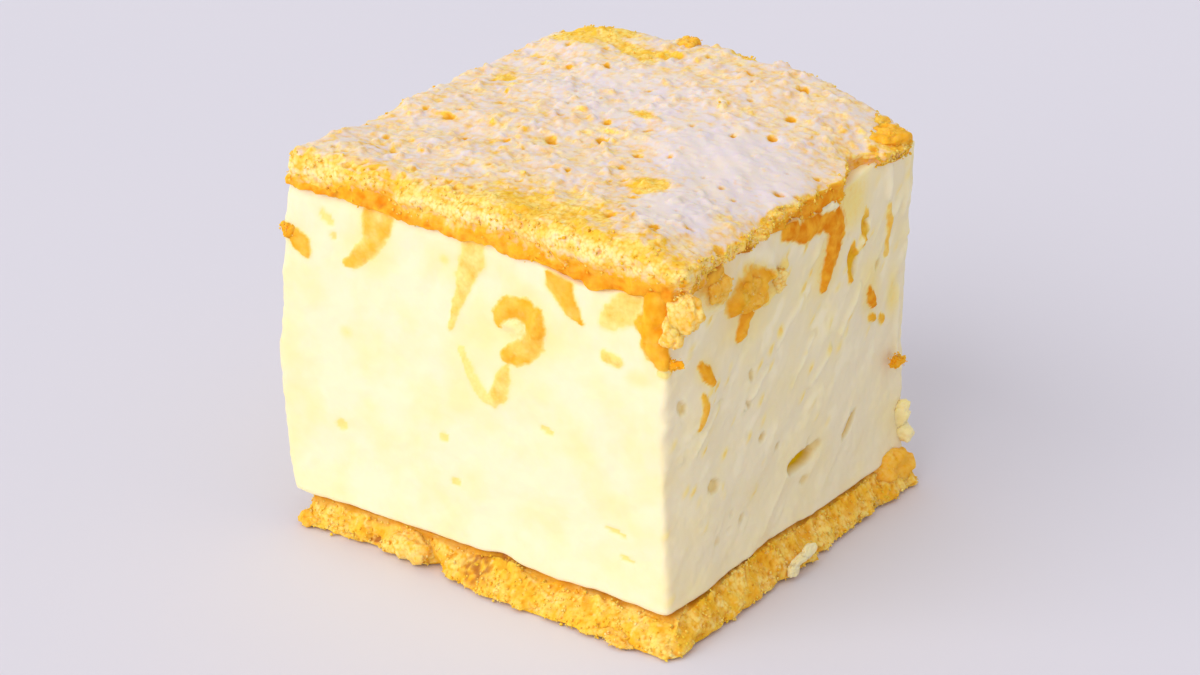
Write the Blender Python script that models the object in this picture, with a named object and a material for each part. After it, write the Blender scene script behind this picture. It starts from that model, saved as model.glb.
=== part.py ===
"""A square slice of custard cream cake: a block of whipped custard cream between two sheets of sponge.

The slice stands on its lower sheet. The origin is under its middle, X runs along the wide cut face,
which looks along -Y, and Z is up. Lengths are in metres.
"""

import math

import bmesh
import bpy
import numpy as np
from mathutils import Matrix, Vector

MM = 0.001

# Driving dimensions of the slice as it was cut
HALF_X = 35.0 * MM
HALF_Y = 33.5 * MM
BASE_TOP = 5.3 * MM
CREAM_TOP = 56.0 * MM
SLICE_TOP = 62.6 * MM
LAYER_GAP = 0.3 * MM
TABLE_CLEARANCE = 0.2 * MM

# How far each layer leaves the plain box that it was cut to
BASE_FLARE = 2.2 * MM
FRONT_FLARE = 4.2 * MM
BAY_DEPTH = 1.6 * MM
CREAM_SWELL = 2.7 * MM
LEFT_OVERLAP = 1.3 * MM
CREAM_INSET = 0.7 * MM
CORNER_DRAG = 1.5 * MM
BACK_CORNER_LOSS = 1.8 * MM
SHEET_OVERHANG = 1.3 * MM
BACK_OVERHANG = 3.4 * MM
CROWN = 2.7 * MM
EDGE_DROOP = 2.2 * MM
NOTCH_DEPTH = 4.2 * MM
SHEET_CORNER_LOSS = 3.0 * MM
SHEET_CORNER_TIP = 1.2 * MM
EDGE_SAG = 2.3 * MM
BARED_CREAM_RISE = 1.8 * MM
FRONT_UNDERCUT = 0.9 * MM
SIDE_UNDERCUT = 2.0 * MM
FLAKE_LIFT = 1.6 * MM
RIM_WIDTH = 7.0 * MM

# Sizes of the crags on the sponge's torn sides and of the waves on the cream's cut faces
CRAG_SIZE = 5.5 * MM
CRAG_HEIGHT = 1.1 * MM
CRUMB_SIZE = 2.6 * MM
CRUMB_HEIGHT = 0.5 * MM
CREAM_WAVE_SIZE = 15.0 * MM
CREAM_WAVE_HEIGHT = 0.55 * MM
KNIFE_MARK_SPACING = 5.2 * MM
KNIFE_MARK_HEIGHT = 0.3 * MM

# Number of strips that each block is divided into along X, Y and Z
BASE_STRIPS = (26, 25, 4)
CREAM_STRIPS = (24, 23, 16)
SHEET_STRIPS = (31, 30, 4)

# Sponge dragged over the wide cut face: x, z, width, height, thickness, all in millimetres, and tilt in degrees
FRONT_SMEARS = (
    (-32.4, 47.8, 2.8, 5.4, 2.2, 25),
    (-19.6, 52.2, 4.2, 5.6, 1.1, 0),
    (-22.8, 47.6, 2.8, 4.0, 0.9, -40),
    (-0.4, 52.6, 3.2, 5.2, 1.0, 0),
    (4.6, 46.8, 3.0, 5.0, 1.5, 12),
    (7.6, 48.4, 7.2, 2.8, 1.5, 6),
    (10.6, 46.6, 3.0, 6.6, 1.5, 6),
    (8.6, 42.2, 3.0, 6.8, 1.4, 34),
    (3.6, 35.4, 2.6, 4.8, 0.9, -25),
    (16.4, 50.8, 2.8, 5.4, 1.6, -20),
    (25.6, 50.4, 4.6, 5.0, 1.0, 0),
    (23.9, 43.8, 2.4, 2.4, 0.8, 0),
)
# Sponge dragged over the side cut face: y, z and the rest alike
SIDE_SMEARS = (
    (-23.4, 53.2, 4.4, 5.0, 2.2, 0),
    (-15.0, 49.6, 6.6, 5.6, 2.6, 10),
    (-15.6, 45.4, 4.0, 2.2, 1.4, 30),
    (-7.2, 50.8, 3.4, 4.6, 1.4, -30),
    (3.4, 53.6, 6.4, 3.2, 1.8, 8),
    (9.6, 50.2, 3.8, 9.4, 1.9, -14),
    (-25.2, 41.2, 2.8, 3.2, 1.0, -35),
    (22.7, 36.0, 2.8, 3.2, 1.2, -30),
    (30.0, 22.6, 3.6, 2.6, 1.6, 0),
    (33.0, 10.4, 3.0, 5.4, 3.4, -12),
)
# Air bubbles that the knife opened on the side cut face: y, z, width, height, depth, and tilt in degrees
SIDE_BUBBLES = (
    (2.4, 16.2, 8.6, 3.2, 2.6, 2),
    (-22.7, 22.1, 3.0, 2.4, 1.4, 0),
    (17.1, 16.8, 5.6, 1.8, 1.4, 38),
    (-14.8, 13.4, 2.4, 2.0, 1.2, 0),
)
# Bubbles on the wide cut face: x, z and the rest alike
FRONT_BUBBLES = (
    (12.0, 29.3, 3.0, 1.5, 1.2, -12),
    (24.2, 16.2, 5.6, 1.3, 1.0, -22),
)


def smooth(value, low, high):
    """0 below low, 1 above high, and an even S curve between them."""
    share = np.clip((value - low) / (high - low), 0.0, 1.0)
    return share * share * (3.0 - 2.0 * share)


def hump(value, centre, width):
    """1 at centre, falling to 0 at half of width on either side."""
    return 1.0 - smooth(np.abs(value - centre), 0.0, width / 2)


def gradient_noise(points, size, seed):
    """Smooth noise from about -1 to 1 with bumps of that size, one value for each row of points."""
    draw = np.random.default_rng(seed)
    order = draw.permutation(256)
    slopes = draw.normal(size=(256, 3))
    slopes /= np.linalg.norm(slopes, axis=1)[:, None]
    scaled = points / size + 64.0
    cell = np.floor(scaled).astype(int)
    within = scaled - cell
    fade = within**3 * (within * (within * 6.0 - 15.0) + 10.0)
    total = np.zeros(len(points))
    for corner in np.ndindex(2, 2, 2):
        step = np.array(corner)
        x, y, z = ((cell + step) & 255).T
        pick = order[(order[(order[x] + y) & 255] + z) & 255]
        share = np.where(step, fade, 1.0 - fade).prod(axis=1)
        total += share * ((within - step) * slopes[pick]).sum(axis=1)
    return 1.5 * total


def rim_share(x, y):
    """1 at the rim of the slice, falling to 0 where the middle of a layer is flat."""
    inward = np.minimum(HALF_X - np.abs(x), HALF_Y - np.abs(y))
    return 1.0 - smooth(inward, 1.0 * MM, RIM_WIDTH)


def base_line(x, y):
    """Height of the face where the lower sheet meets the cream: level inside, uneven at the rim."""
    front = smooth(-y, 0.6 * HALF_Y, HALF_Y)
    side = smooth(x, 0.6 * HALF_X, HALF_X)
    flat = np.stack([x, y, np.zeros_like(x)], axis=1)
    wave = 0.35 * MM * gradient_noise(flat, 9 * MM, 12)
    front_rise = front * (0.5 * MM * smooth(-x, -8 * MM, 6 * MM) + 0.8 * MM * hump(x, 4 * MM, 9 * MM))
    side_rise = 1.0 * MM * side * hump(y, -8 * MM, 46 * MM)
    return BASE_TOP + rim_share(x, y) * (wave + front_rise + side_rise)


def layer_line(x, y):
    """Height of the face where the cream meets the upper sheet. It waves at the rim, and is flat inside it."""
    front = smooth(-y, 0.6 * HALF_Y, HALF_Y)
    side = smooth(x, 0.6 * HALF_X, HALF_X)
    flat = np.stack([x, y, np.zeros_like(x)], axis=1)
    wave = 0.5 * MM * gradient_noise(flat, 13 * MM, 11)
    sag = -EDGE_SAG * front * hump(x, 20 * MM, 48 * MM)
    lift = side * (1.3 * MM * hump(y, -14 * MM, 36 * MM) + BARED_CREAM_RISE * smooth(y, 8 * MM, 22 * MM))
    return CREAM_TOP + rim_share(x, y) * (wave + sag + lift)


def rolled_box(points, low, high, radius, lip_low, lip_high):
    """Rolls the edges of a box: each point near an edge is pushed onto an ellipsoid inside that edge.

    low and high are the box's corners. radius rounds the upright edges, and the lips are the heights
    over which the lower and the upper edge roll in. It returns the points and their outward directions.
    """
    lip = np.where(points[:, 2] < (low[2] + high[2]) / 2, lip_low, lip_high)
    reach = np.stack([np.full(len(points), radius), np.full(len(points), radius), lip], axis=1)
    core = np.clip(points, low + reach, high - reach)
    out = (points - core) / reach
    out /= np.maximum(np.linalg.norm(out, axis=1), 1e-9)[:, None]
    rolled = core + reach * out
    normal = out / reach
    normal /= np.maximum(np.linalg.norm(normal, axis=1), 1e-9)[:, None]
    return rolled, normal


def crags(points):
    """Relief of torn sponge: large lumps with smaller crumbs on them."""
    lumps = gradient_noise(points, CRAG_SIZE, 21)
    crumbs = gradient_noise(points, CRUMB_SIZE, 22)
    return CRAG_HEIGHT * lumps + CRUMB_HEIGHT * crumbs


def shape_base(points):
    """The lower sheet: flat above and below, flared and ragged where the knife pressed it onto the tray."""
    low = np.array([-HALF_X, -HALF_Y, 0.0])
    high = np.array([HALF_X, HALF_Y, BASE_TOP - LAYER_GAP])
    rolled, normal = rolled_box(low + (high - low) * points, low, high, 2.2 * MM, 1.0 * MM, 1.6 * MM)
    x, y, z = rolled.T
    side = np.hypot(normal[:, 0], normal[:, 1])
    foot = 1.0 - smooth(z, 0.0, BASE_TOP)
    front = smooth(-y, 0.8 * HALF_Y, HALF_Y)
    pressed_out = 0.25 + 0.75 * smooth(x, -12 * MM, 6 * MM)
    rolled[:, 0] += BASE_FLARE * (0.35 + 0.65 * foot) * smooth(x, 0.8 * HALF_X, HALF_X)
    rolled[:, 1] -= FRONT_FLARE * (0.1 + 0.9 * foot) * pressed_out * front
    rolled[:, 1] += BAY_DEPTH * hump(x, -8.5 * MM, 6.0 * MM) * front * foot
    rolled[:, 2] += smooth(z, 0.4 * BASE_TOP, 0.9 * BASE_TOP) * (base_line(x, y) - BASE_TOP)
    return rolled + normal * (side * crags(points * (high - low)))[:, None]


def knife_marks(across, up):
    """Shallow ridges that the knife dragged slantwise up a cut face, broken up along their length."""
    along = (across + up) / math.sqrt(2)
    beside = (across - up) / math.sqrt(2)
    stretched = np.stack([beside, along / 7.0, np.zeros_like(along)], axis=1)
    return KNIFE_MARK_HEIGHT * gradient_noise(stretched, KNIFE_MARK_SPACING, 31)


def shape_cream(points):
    """The cream block: swollen on the left, dragged in at the front corner, knife-marked on the side face."""
    low = np.array([-HALF_X - LEFT_OVERLAP, -HALF_Y, BASE_TOP])
    high = np.array([HALF_X - CREAM_INSET, HALF_Y, CREAM_TOP])
    rolled, normal = rolled_box(low + (high - low) * points, low, high, 2.0 * MM, 0.4 * MM, 0.4 * MM)
    x, y, z = rolled.T
    side = np.hypot(normal[:, 0], normal[:, 1])
    up = (z - BASE_TOP) / (CREAM_TOP - BASE_TOP)
    right = smooth(x, 0.5 * HALF_X, HALF_X)
    left = smooth(-x, 0.5 * HALF_X, HALF_X)
    back = smooth(y, 0.4 * HALF_Y, HALF_Y)
    front = smooth(-y, 0.7 * HALF_Y, HALF_Y)
    swell = np.sin(math.pi * np.clip(up, 0, 1) ** 0.65)
    middle = np.sin(math.pi * np.clip(up, 0, 1))
    waves = CREAM_WAVE_HEIGHT * gradient_noise(rolled, CREAM_WAVE_SIZE, 32)
    marks = knife_marks(y, z) * np.clip(normal[:, 0], 0, 1)
    moved = rolled + normal * (side * (waves * (0.3 + 0.7 * middle) + marks))[:, None]
    moved[:, 0] -= CREAM_SWELL * swell * left
    moved[:, 0] -= CORNER_DRAG * right * front * (0.4 + 0.6 * middle)
    moved[:, 0] -= BACK_CORNER_LOSS * right * back * middle
    moved[:, 1] += 0.5 * BACK_OVERHANG * middle * smooth(y, 0.6 * HALF_Y, HALF_Y)
    moved[:, 2] += smooth(up, 0.9, 1.0) * (layer_line(x, y) - CREAM_TOP)
    moved[:, 2] += smooth(-up, -0.1, 0.0) * (base_line(x, y) - BASE_TOP)
    return moved


def sheet_relief(x, y):
    """Height of the upper sheet's top over its plain level: a crown at the back, drooping edges and ripples."""
    sideways = np.abs(x + 2 * MM)
    crown = CROWN * smooth(y, -0.7 * HALF_Y, HALF_Y) * (1.0 - smooth(sideways, 0.3 * HALF_X, HALF_X))
    droop = EDGE_DROOP * smooth(x, 0.68 * HALF_X, 1.05 * HALF_X)
    flat = np.stack([x, y, np.zeros_like(x)], axis=1)
    ripples = 0.9 * MM * gradient_noise(flat * [1.0, 1.6, 1.0], 17 * MM, 41)
    bumps = 0.35 * MM * gradient_noise(flat, 5 * MM, 42)
    torn_flake = FLAKE_LIFT * hump(x, -26 * MM, 16 * MM) ** 0.5 * smooth(y, 20 * MM, 25 * MM)
    return crown - droop + ripples + bumps + torn_flake


def shape_sheet(points):
    """The upper sheet: overhanging at the front and the back, crowned, notched near its back right corner."""
    low = np.array([-HALF_X - 0.5 * MM, -HALF_Y, CREAM_TOP + LAYER_GAP])
    high = np.array([HALF_X, HALF_Y, SLICE_TOP])
    rolled, normal = rolled_box(low + (high - low) * points, low, high, 3.0 * MM, 0.9 * MM, 2.4 * MM)
    x, y, z = rolled.T
    side = np.hypot(normal[:, 0], normal[:, 1])
    up = (z - low[2]) / (high[2] - low[2])
    rolled = rolled + normal * (side * crags(points * (high - low) + 0.05))[:, None]
    edge_x = smooth(x, 0.7 * HALF_X, HALF_X)
    edge_front = smooth(-y, 0.8 * HALF_Y, HALF_Y)
    rolled[:, 0] += SHEET_OVERHANG * edge_x
    rolled[:, 0] -= NOTCH_DEPTH * edge_x * hump(y, 17 * MM, 15 * MM)
    rolled[:, 0] -= SHEET_CORNER_LOSS * edge_x * smooth(y, 0.75 * HALF_Y, HALF_Y)
    rolled[:, 0] -= SHEET_CORNER_TIP * smooth(-x, 0.7 * HALF_X, HALF_X) * hump(y, -HALF_Y, 30 * MM)
    rolled[:, 1] -= SHEET_OVERHANG * edge_front * smooth(x, -0.5 * HALF_X, 0.8 * HALF_X)
    foot = 1.0 - smooth(up, 0.2, 0.6)
    rolled[:, 0] -= SIDE_UNDERCUT * edge_x * foot * hump(y, -20 * MM, 44 * MM)
    rolled[:, 1] += FRONT_UNDERCUT * edge_front * foot
    arch = 1.0 - smooth(np.abs(x + 4 * MM), 0.3 * HALF_X, HALF_X)
    rolled[:, 1] += BACK_OVERHANG * smooth(y, 0.6 * HALF_Y, HALF_Y) * (0.1 + 0.9 * arch)
    rolled[:, 2] += (1.0 - up) * (layer_line(rolled[:, 0], y) - CREAM_TOP) + up * sheet_relief(x, y)
    return rolled


def plain_material(name, colour, roughness):
    """A Principled material of one colour."""
    material = bpy.data.materials.new(name)
    material.use_nodes = True
    shader = material.node_tree.nodes["Principled BSDF"]
    shader.inputs["Base Color"].default_value = (*colour, 1.0)
    shader.inputs["Roughness"].default_value = roughness
    shader.inputs["Metallic"].default_value = 0.0
    material.diffuse_color = (*colour, 1.0)
    return material


def shaped_block(name, strips, flat_ends, shape, material, collection):
    """A unit cube divided into strips by planes, whose points the shape function then sets in place.

    flat_ends are the ends, 0 for the lower and 1 for the upper, that are flat inside their rim. Their
    middle becomes one face.
    """
    mesh = bpy.data.meshes.new(name)
    bm = bmesh.new()
    bmesh.ops.create_cube(bm, size=1.0, matrix=Matrix.Translation((0.5, 0.5, 0.5)))
    for axis, count in enumerate(strips):
        direction = Vector([float(axis == i) for i in range(3)])
        for step in range(1, count):
            every = bm.verts[:] + bm.edges[:] + bm.faces[:]
            bmesh.ops.bisect_plane(bm, geom=every, plane_co=direction * step / count, plane_no=direction)
    rim_x = RIM_WIDTH / (2 * HALF_X)
    rim_y = RIM_WIDTH / (2 * HALF_Y)
    for end in flat_ends:
        middle = []
        for face in bm.faces:
            x, y, z = face.calc_center_median()
            if abs(z - end) < 1e-4 and rim_x < x < 1 - rim_x and rim_y < y < 1 - rim_y:
                middle.append(face)
        bmesh.ops.dissolve_faces(bm, faces=middle, use_verts=False)
    points = np.array([vertex.co[:] for vertex in bm.verts])
    for vertex, place in zip(bm.verts, shape(points)):
        vertex.co = place
    bm.normal_update()
    bmesh.ops.triangulate(bm, faces=bm.faces[:])
    bm.to_mesh(mesh)
    bm.free()
    mesh.materials.append(material)
    mesh.shade_smooth()
    block = bpy.data.objects.new(name, mesh)
    collection.objects.link(block)
    return block


def lump(name, place, size, turn, collection, seed, detail=2, grow=0.0):
    """An uneven lump: an icosphere stretched to size, with a crumbly surface, turned and set in place."""
    mesh = bpy.data.meshes.new(name)
    bm = bmesh.new()
    bmesh.ops.create_icosphere(bm, subdivisions=detail, radius=0.5)
    points = np.array([vertex.co[:] for vertex in bm.verts])
    swell = 1.0 + 0.3 * gradient_noise(points, 0.5, seed) + 0.2 * gradient_noise(points, 0.27, seed + 1)
    points = points * swell[:, None] * (np.array(size) + 2 * grow)
    for vertex, point in zip(bm.verts, points):
        vertex.co = point
    bm.transform(Matrix.Translation(place) @ turn.to_4x4())
    for vertex in bm.verts:
        vertex.co.z = max(vertex.co.z, TABLE_CLEARANCE)
    bm.to_mesh(mesh)
    bm.free()
    piece = bpy.data.objects.new(name, mesh)
    collection.objects.link(piece)
    return piece


def on_cream(face, across, up):
    """The point of the finished cream's cut face that started at that place on the plain box."""
    up_share = (up - BASE_TOP) / (CREAM_TOP - BASE_TOP)
    share = (1.0, (across + HALF_Y) / (2 * HALF_Y), up_share)
    if face == "front":
        share = ((across + HALF_X) / (2 * HALF_X), 0.0, up_share)
    return Vector(shape_cream(np.array([share]))[0])


def lumps_on_face(rows, face, collection, seed):
    """One lump for each row of a table, on the wide cut face or on the side cut face."""
    for number, (across, up, width, height, thickness, tilt) in enumerate(rows):
        turn = Matrix.Rotation(math.radians(tilt), 3, "Y")
        if face == "side":
            turn = Matrix.Rotation(math.radians(90), 3, "Z") @ turn
        place = on_cream(face, across * MM, up * MM)
        size = (width * MM, thickness * MM, height * MM)
        lump(f"{face}_lump_{number}", place, size, turn, collection, seed + number)


def flap_lumps(collection, grow=0.0):
    """The torn flap that hangs from the upper sheet round the front corner, as lumps that run into each other.

    grow makes them that much larger all round, as a cutter for the cream behind the flap.
    """
    rows = (
        ((31.2, -34.9, 54.6), (6.6, 4.0, 7.4), 0),
        ((30.8, -35.0, 50.8), (5.4, 2.8, 8.6), -8),
        ((31.2, -35.0, 47.4), (4.8, 2.6, 6.6), 12),
        ((33.0, -34.9, 45.6), (7.0, 2.6, 3.6), 10),
        ((35.3, -34.3, 45.8), (4.6, 2.0, 2.0), 10),
        ((35.0, -32.8, 53.4), (5.2, 5.0, 7.2), 0),
        ((35.2, -32.6, 50.8), (4.2, 4.4, 7.2), -12),
    )
    for number, (place, size, tilt) in enumerate(rows):
        place = Vector(place) * MM
        size = [length * MM for length in size]
        turn = Matrix.Rotation(math.radians(tilt), 3, "Y")
        lump(f"flap_{number}", place, size, turn, collection, 60 + number, grow=grow)


def loose_edges(collection):
    """Torn bits that stay on the upper sheet: the tab at its back right corner and the knob on its back edge."""
    rows = (
        ("tab", (31.0, 26.8, 61.8), (8.0, 9.0, 3.8), 81),
        ("knob", (-8.6, 34.8, 63.8), (3.6, 3.4, 3.4), 82),
    )
    for name, place, size, seed in rows:
        size = [length * MM for length in size]
        lump(name, Vector(place) * MM, size, Matrix.Identity(3), collection, seed)


def base_scraps(collection):
    """Lumps that hang on the lower sheet's torn foot, clear of the table."""
    rows = (
        ((-34.2, -33.0, 1.9), (5.0, 4.0, 3.0), 84),
        ((-13.4, -34.0, 2.4), (8.0, 4.2, 4.6), 85),
        ((25.0, -36.4, 1.8), (7.0, 4.0, 3.2), 86),
        ((36.4, 0.2, 2.2), (4.0, 8.0, 4.0), 87),
        ((33.4, 30.8, 2.9), (5.0, 7.0, 3.8), 88),
    )
    for number, (place, size, seed) in enumerate(rows):
        place = Vector(place) * MM
        size = [length * MM for length in size]
        lump(f"scrap_{number}", place, size, Matrix.Identity(3), collection, seed)


def apply_boolean(block, others, operation, solver="EXACT"):
    """Joins the objects of a collection to a block, or cuts them from it, and removes them."""
    modifier = block.modifiers.new(operation.title(), "BOOLEAN")
    modifier.operation = operation
    modifier.operand_type = "COLLECTION"
    modifier.collection = others
    modifier.solver = solver
    graph = bpy.context.evaluated_depsgraph_get()
    graph.update()
    material = block.data.materials[0]
    finished = bpy.data.meshes.new_from_object(block.evaluated_get(graph))
    block.modifiers.remove(modifier)
    block.data = finished
    finished.materials.clear()
    finished.materials.append(material)
    for piece in list(others.objects):
        bpy.data.objects.remove(piece)
    bpy.data.collections.remove(others)


def work_collection(name):
    """A collection for shapes that are joined or cut and then removed."""
    collection = bpy.data.collections.new(name)
    bpy.context.scene.collection.children.link(collection)
    return collection


def clear_scene():
    """Takes away whatever the scene holds."""
    for thing in list(bpy.data.objects):
        bpy.data.objects.remove(thing)


def build_slice():
    """The whole slice: lower sheet, cream and upper sheet."""
    clear_scene()
    parts = bpy.data.collections.new("custard_cream_slice")
    bpy.context.scene.collection.children.link(parts)
    sponge = plain_material("sponge", (0.88, 0.55, 0.16), 0.9)
    cream = plain_material("custard_cream", (0.93, 0.87, 0.62), 0.55)
    dusted = plain_material("sugared_sponge", (0.86, 0.76, 0.62), 0.9)

    base = shaped_block("base_sponge", BASE_STRIPS, (0, 1), shape_base, sponge, parts)
    filling = shaped_block("cream_filling", CREAM_STRIPS, (0, 1), shape_cream, cream, parts)
    sheet = shaped_block("top_sponge", SHEET_STRIPS, (0,), shape_sheet, dusted, parts)

    scraps = work_collection("scraps")
    base_scraps(scraps)
    apply_boolean(base, scraps, "UNION")

    smears = work_collection("smears")
    lumps_on_face(FRONT_SMEARS, "front", smears, 100)
    lumps_on_face(SIDE_SMEARS, "side", smears, 140)
    apply_boolean(filling, smears, "UNION")
    openings = work_collection("openings")
    lumps_on_face(FRONT_BUBBLES, "front", openings, 180)
    lumps_on_face(SIDE_BUBBLES, "side", openings, 190)
    flap_lumps(openings, grow=LAYER_GAP)
    apply_boolean(filling, openings, "DIFFERENCE")

    torn = work_collection("torn")
    flap_lumps(torn)
    loose_edges(torn)
    apply_boolean(sheet, torn, "UNION")


build_slice()
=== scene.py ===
"""Looks of a slice of custard cream cake: whipped cream between two sheets of sponge, the upper sugared.

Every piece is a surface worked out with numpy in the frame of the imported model. X runs along the wide cut
face, which looks along -Y, the side cut face looks along +X, and Z is up. Lengths are in metres.
"""

import math

import bpy
import numpy as np
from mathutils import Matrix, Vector


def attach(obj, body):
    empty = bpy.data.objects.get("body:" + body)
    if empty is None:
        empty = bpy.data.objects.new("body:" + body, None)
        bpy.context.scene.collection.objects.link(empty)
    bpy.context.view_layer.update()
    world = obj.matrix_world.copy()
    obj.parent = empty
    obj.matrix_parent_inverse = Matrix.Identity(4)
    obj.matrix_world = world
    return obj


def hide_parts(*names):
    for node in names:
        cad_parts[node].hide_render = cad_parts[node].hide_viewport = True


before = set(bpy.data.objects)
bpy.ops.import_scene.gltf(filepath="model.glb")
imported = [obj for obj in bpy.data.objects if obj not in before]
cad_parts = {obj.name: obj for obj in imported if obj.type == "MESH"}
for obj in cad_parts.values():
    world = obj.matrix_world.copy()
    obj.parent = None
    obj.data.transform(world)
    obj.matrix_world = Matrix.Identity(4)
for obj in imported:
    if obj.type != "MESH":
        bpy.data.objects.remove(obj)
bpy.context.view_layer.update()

MM = 0.001

# Driving dimensions of the slice, as its solids have them
HALF_X = 35.0 * MM
HALF_Y = 33.5 * MM
BASE_TOP = 5.3 * MM
CREAM_TOP = 56.0 * MM
SLICE_TOP = 62.6 * MM
LAYER_GAP = 0.3 * MM
BASE_FLARE = 2.2 * MM
FRONT_FLARE = 4.2 * MM
BAY_DEPTH = 1.6 * MM
CREAM_SWELL = 2.7 * MM
LEFT_OVERLAP = 1.3 * MM
CREAM_INSET = 0.7 * MM
CORNER_DRAG = 1.5 * MM
BACK_CORNER_LOSS = 1.8 * MM
SHEET_OVERHANG = 1.3 * MM
BACK_OVERHANG = 3.4 * MM
CROWN = 2.7 * MM
EDGE_DROOP = 2.2 * MM
NOTCH_DEPTH = 4.2 * MM
SHEET_CORNER_LOSS = 3.0 * MM
SHEET_CORNER_TIP = 1.2 * MM
EDGE_SAG = 2.3 * MM
BARED_CREAM_RISE = 1.8 * MM
FRONT_UNDERCUT = 0.9 * MM
SIDE_UNDERCUT = 2.0 * MM
FLAKE_LIFT = 1.6 * MM
RIM_WIDTH = 7.0 * MM
CRAG_SIZE = 5.5 * MM
CRAG_HEIGHT = 1.1 * MM
CRUMB_SIZE = 2.6 * MM
CRUMB_HEIGHT = 0.5 * MM
CREAM_WAVE_SIZE = 15.0 * MM
CREAM_WAVE_HEIGHT = 0.55 * MM
KNIFE_MARK_SPACING = 5.2 * MM
KNIFE_MARK_HEIGHT = 0.3 * MM

# Number of squares along X, Y and Z of each layer's skin
SHEET_SQUARES = (230, 220, 26)
CREAM_SQUARES = (170, 162, 118)
BASE_SQUARES = (220, 210, 22)

# The lowest that anything reaches
FLOOR_GAP = 0.05 * MM

# How far the cream's foot spreads, how far its rim beds into the upper sheet, at the sides and the front,
# and how far its front rim is tucked in behind that sheet's hem
CREAM_FOOT = 0.5 * MM
CREAM_BED = 1.4 * MM
FRONT_BED = 2.1 * MM
RIM_TUCK = 1.0 * MM

# How far the upper sheet's hem stands out from the cream, and how deep the hollow under its right rim is
HEM_PROUD = 0.5 * MM
RIM_RECESS = 1.7 * MM

# Torn crumb: its grains, the clumps that they stand on, and the share of its cells that hold a pore
GRAIN_SPACING = 0.9 * MM
GRAIN_HEIGHT = 0.2 * MM
CLUMP_SIZE = 2.4 * MM
CLUMP_HEIGHT = 0.26 * MM
PORE_SPACING = 1.7 * MM
PORE_DEPTH = 0.4 * MM
PORE_SHARE = 0.4

# Noise of more than one size, as rows of strength, size and seed: the wavering line of the upper sheet's
# hem and its tatters, the tatters of that sheet's wall, and tears in the lower sheet
HEM_WAVER = ((0.2 * MM, 3.0 * MM, 83), (0.25 * MM, 1.3 * MM, 84))
HEM_TATTERS = ((0.35 * MM, 1.9 * MM, 58), (0.25 * MM, 1.0 * MM, 59))
WALL_TATTERS = ((1.0, 3.6 * MM, 77), (0.7, 1.7 * MM, 78))
BASE_TEARS = ((1.0, 3.4 * MM, 73), (0.6, 1.8 * MM, 74))

# The same for clouds in the sugar, soft waves in the cream, and the ragged outline of a smear
SUGAR_CLOUDS = ((0.3, 3.6 * MM, 62), (0.34, 1.5 * MM, 63))
CREAM_WAVES = ((0.1 * MM, 1.7 * MM, 33), (0.16 * MM, 4.5 * MM, 34))
SMEAR_RAGS = ((0.24, 2.6 * MM, 92), (0.24, 1.0 * MM, 93))

# Spacing of the grains and of the dark specks, painted shade of pinholes, that the crumb's colour shows
GRAIN_COLOUR_SPACING = 0.6 * MM
SPECK_SPACING = 1.0 * MM

# How many rings a lump has, how many points go round each, the power that shapes it, which makes it boxier
# the lower it is, and how many grains cling to it
LUMP_RINGS = 56
LUMP_AROUND = 84
LUMP_BOXINESS = 0.8
LUMP_GRAINS = 80

# How much closer together the rings of a closed end are at its rim
RING_CROWDING = 1.6
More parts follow.
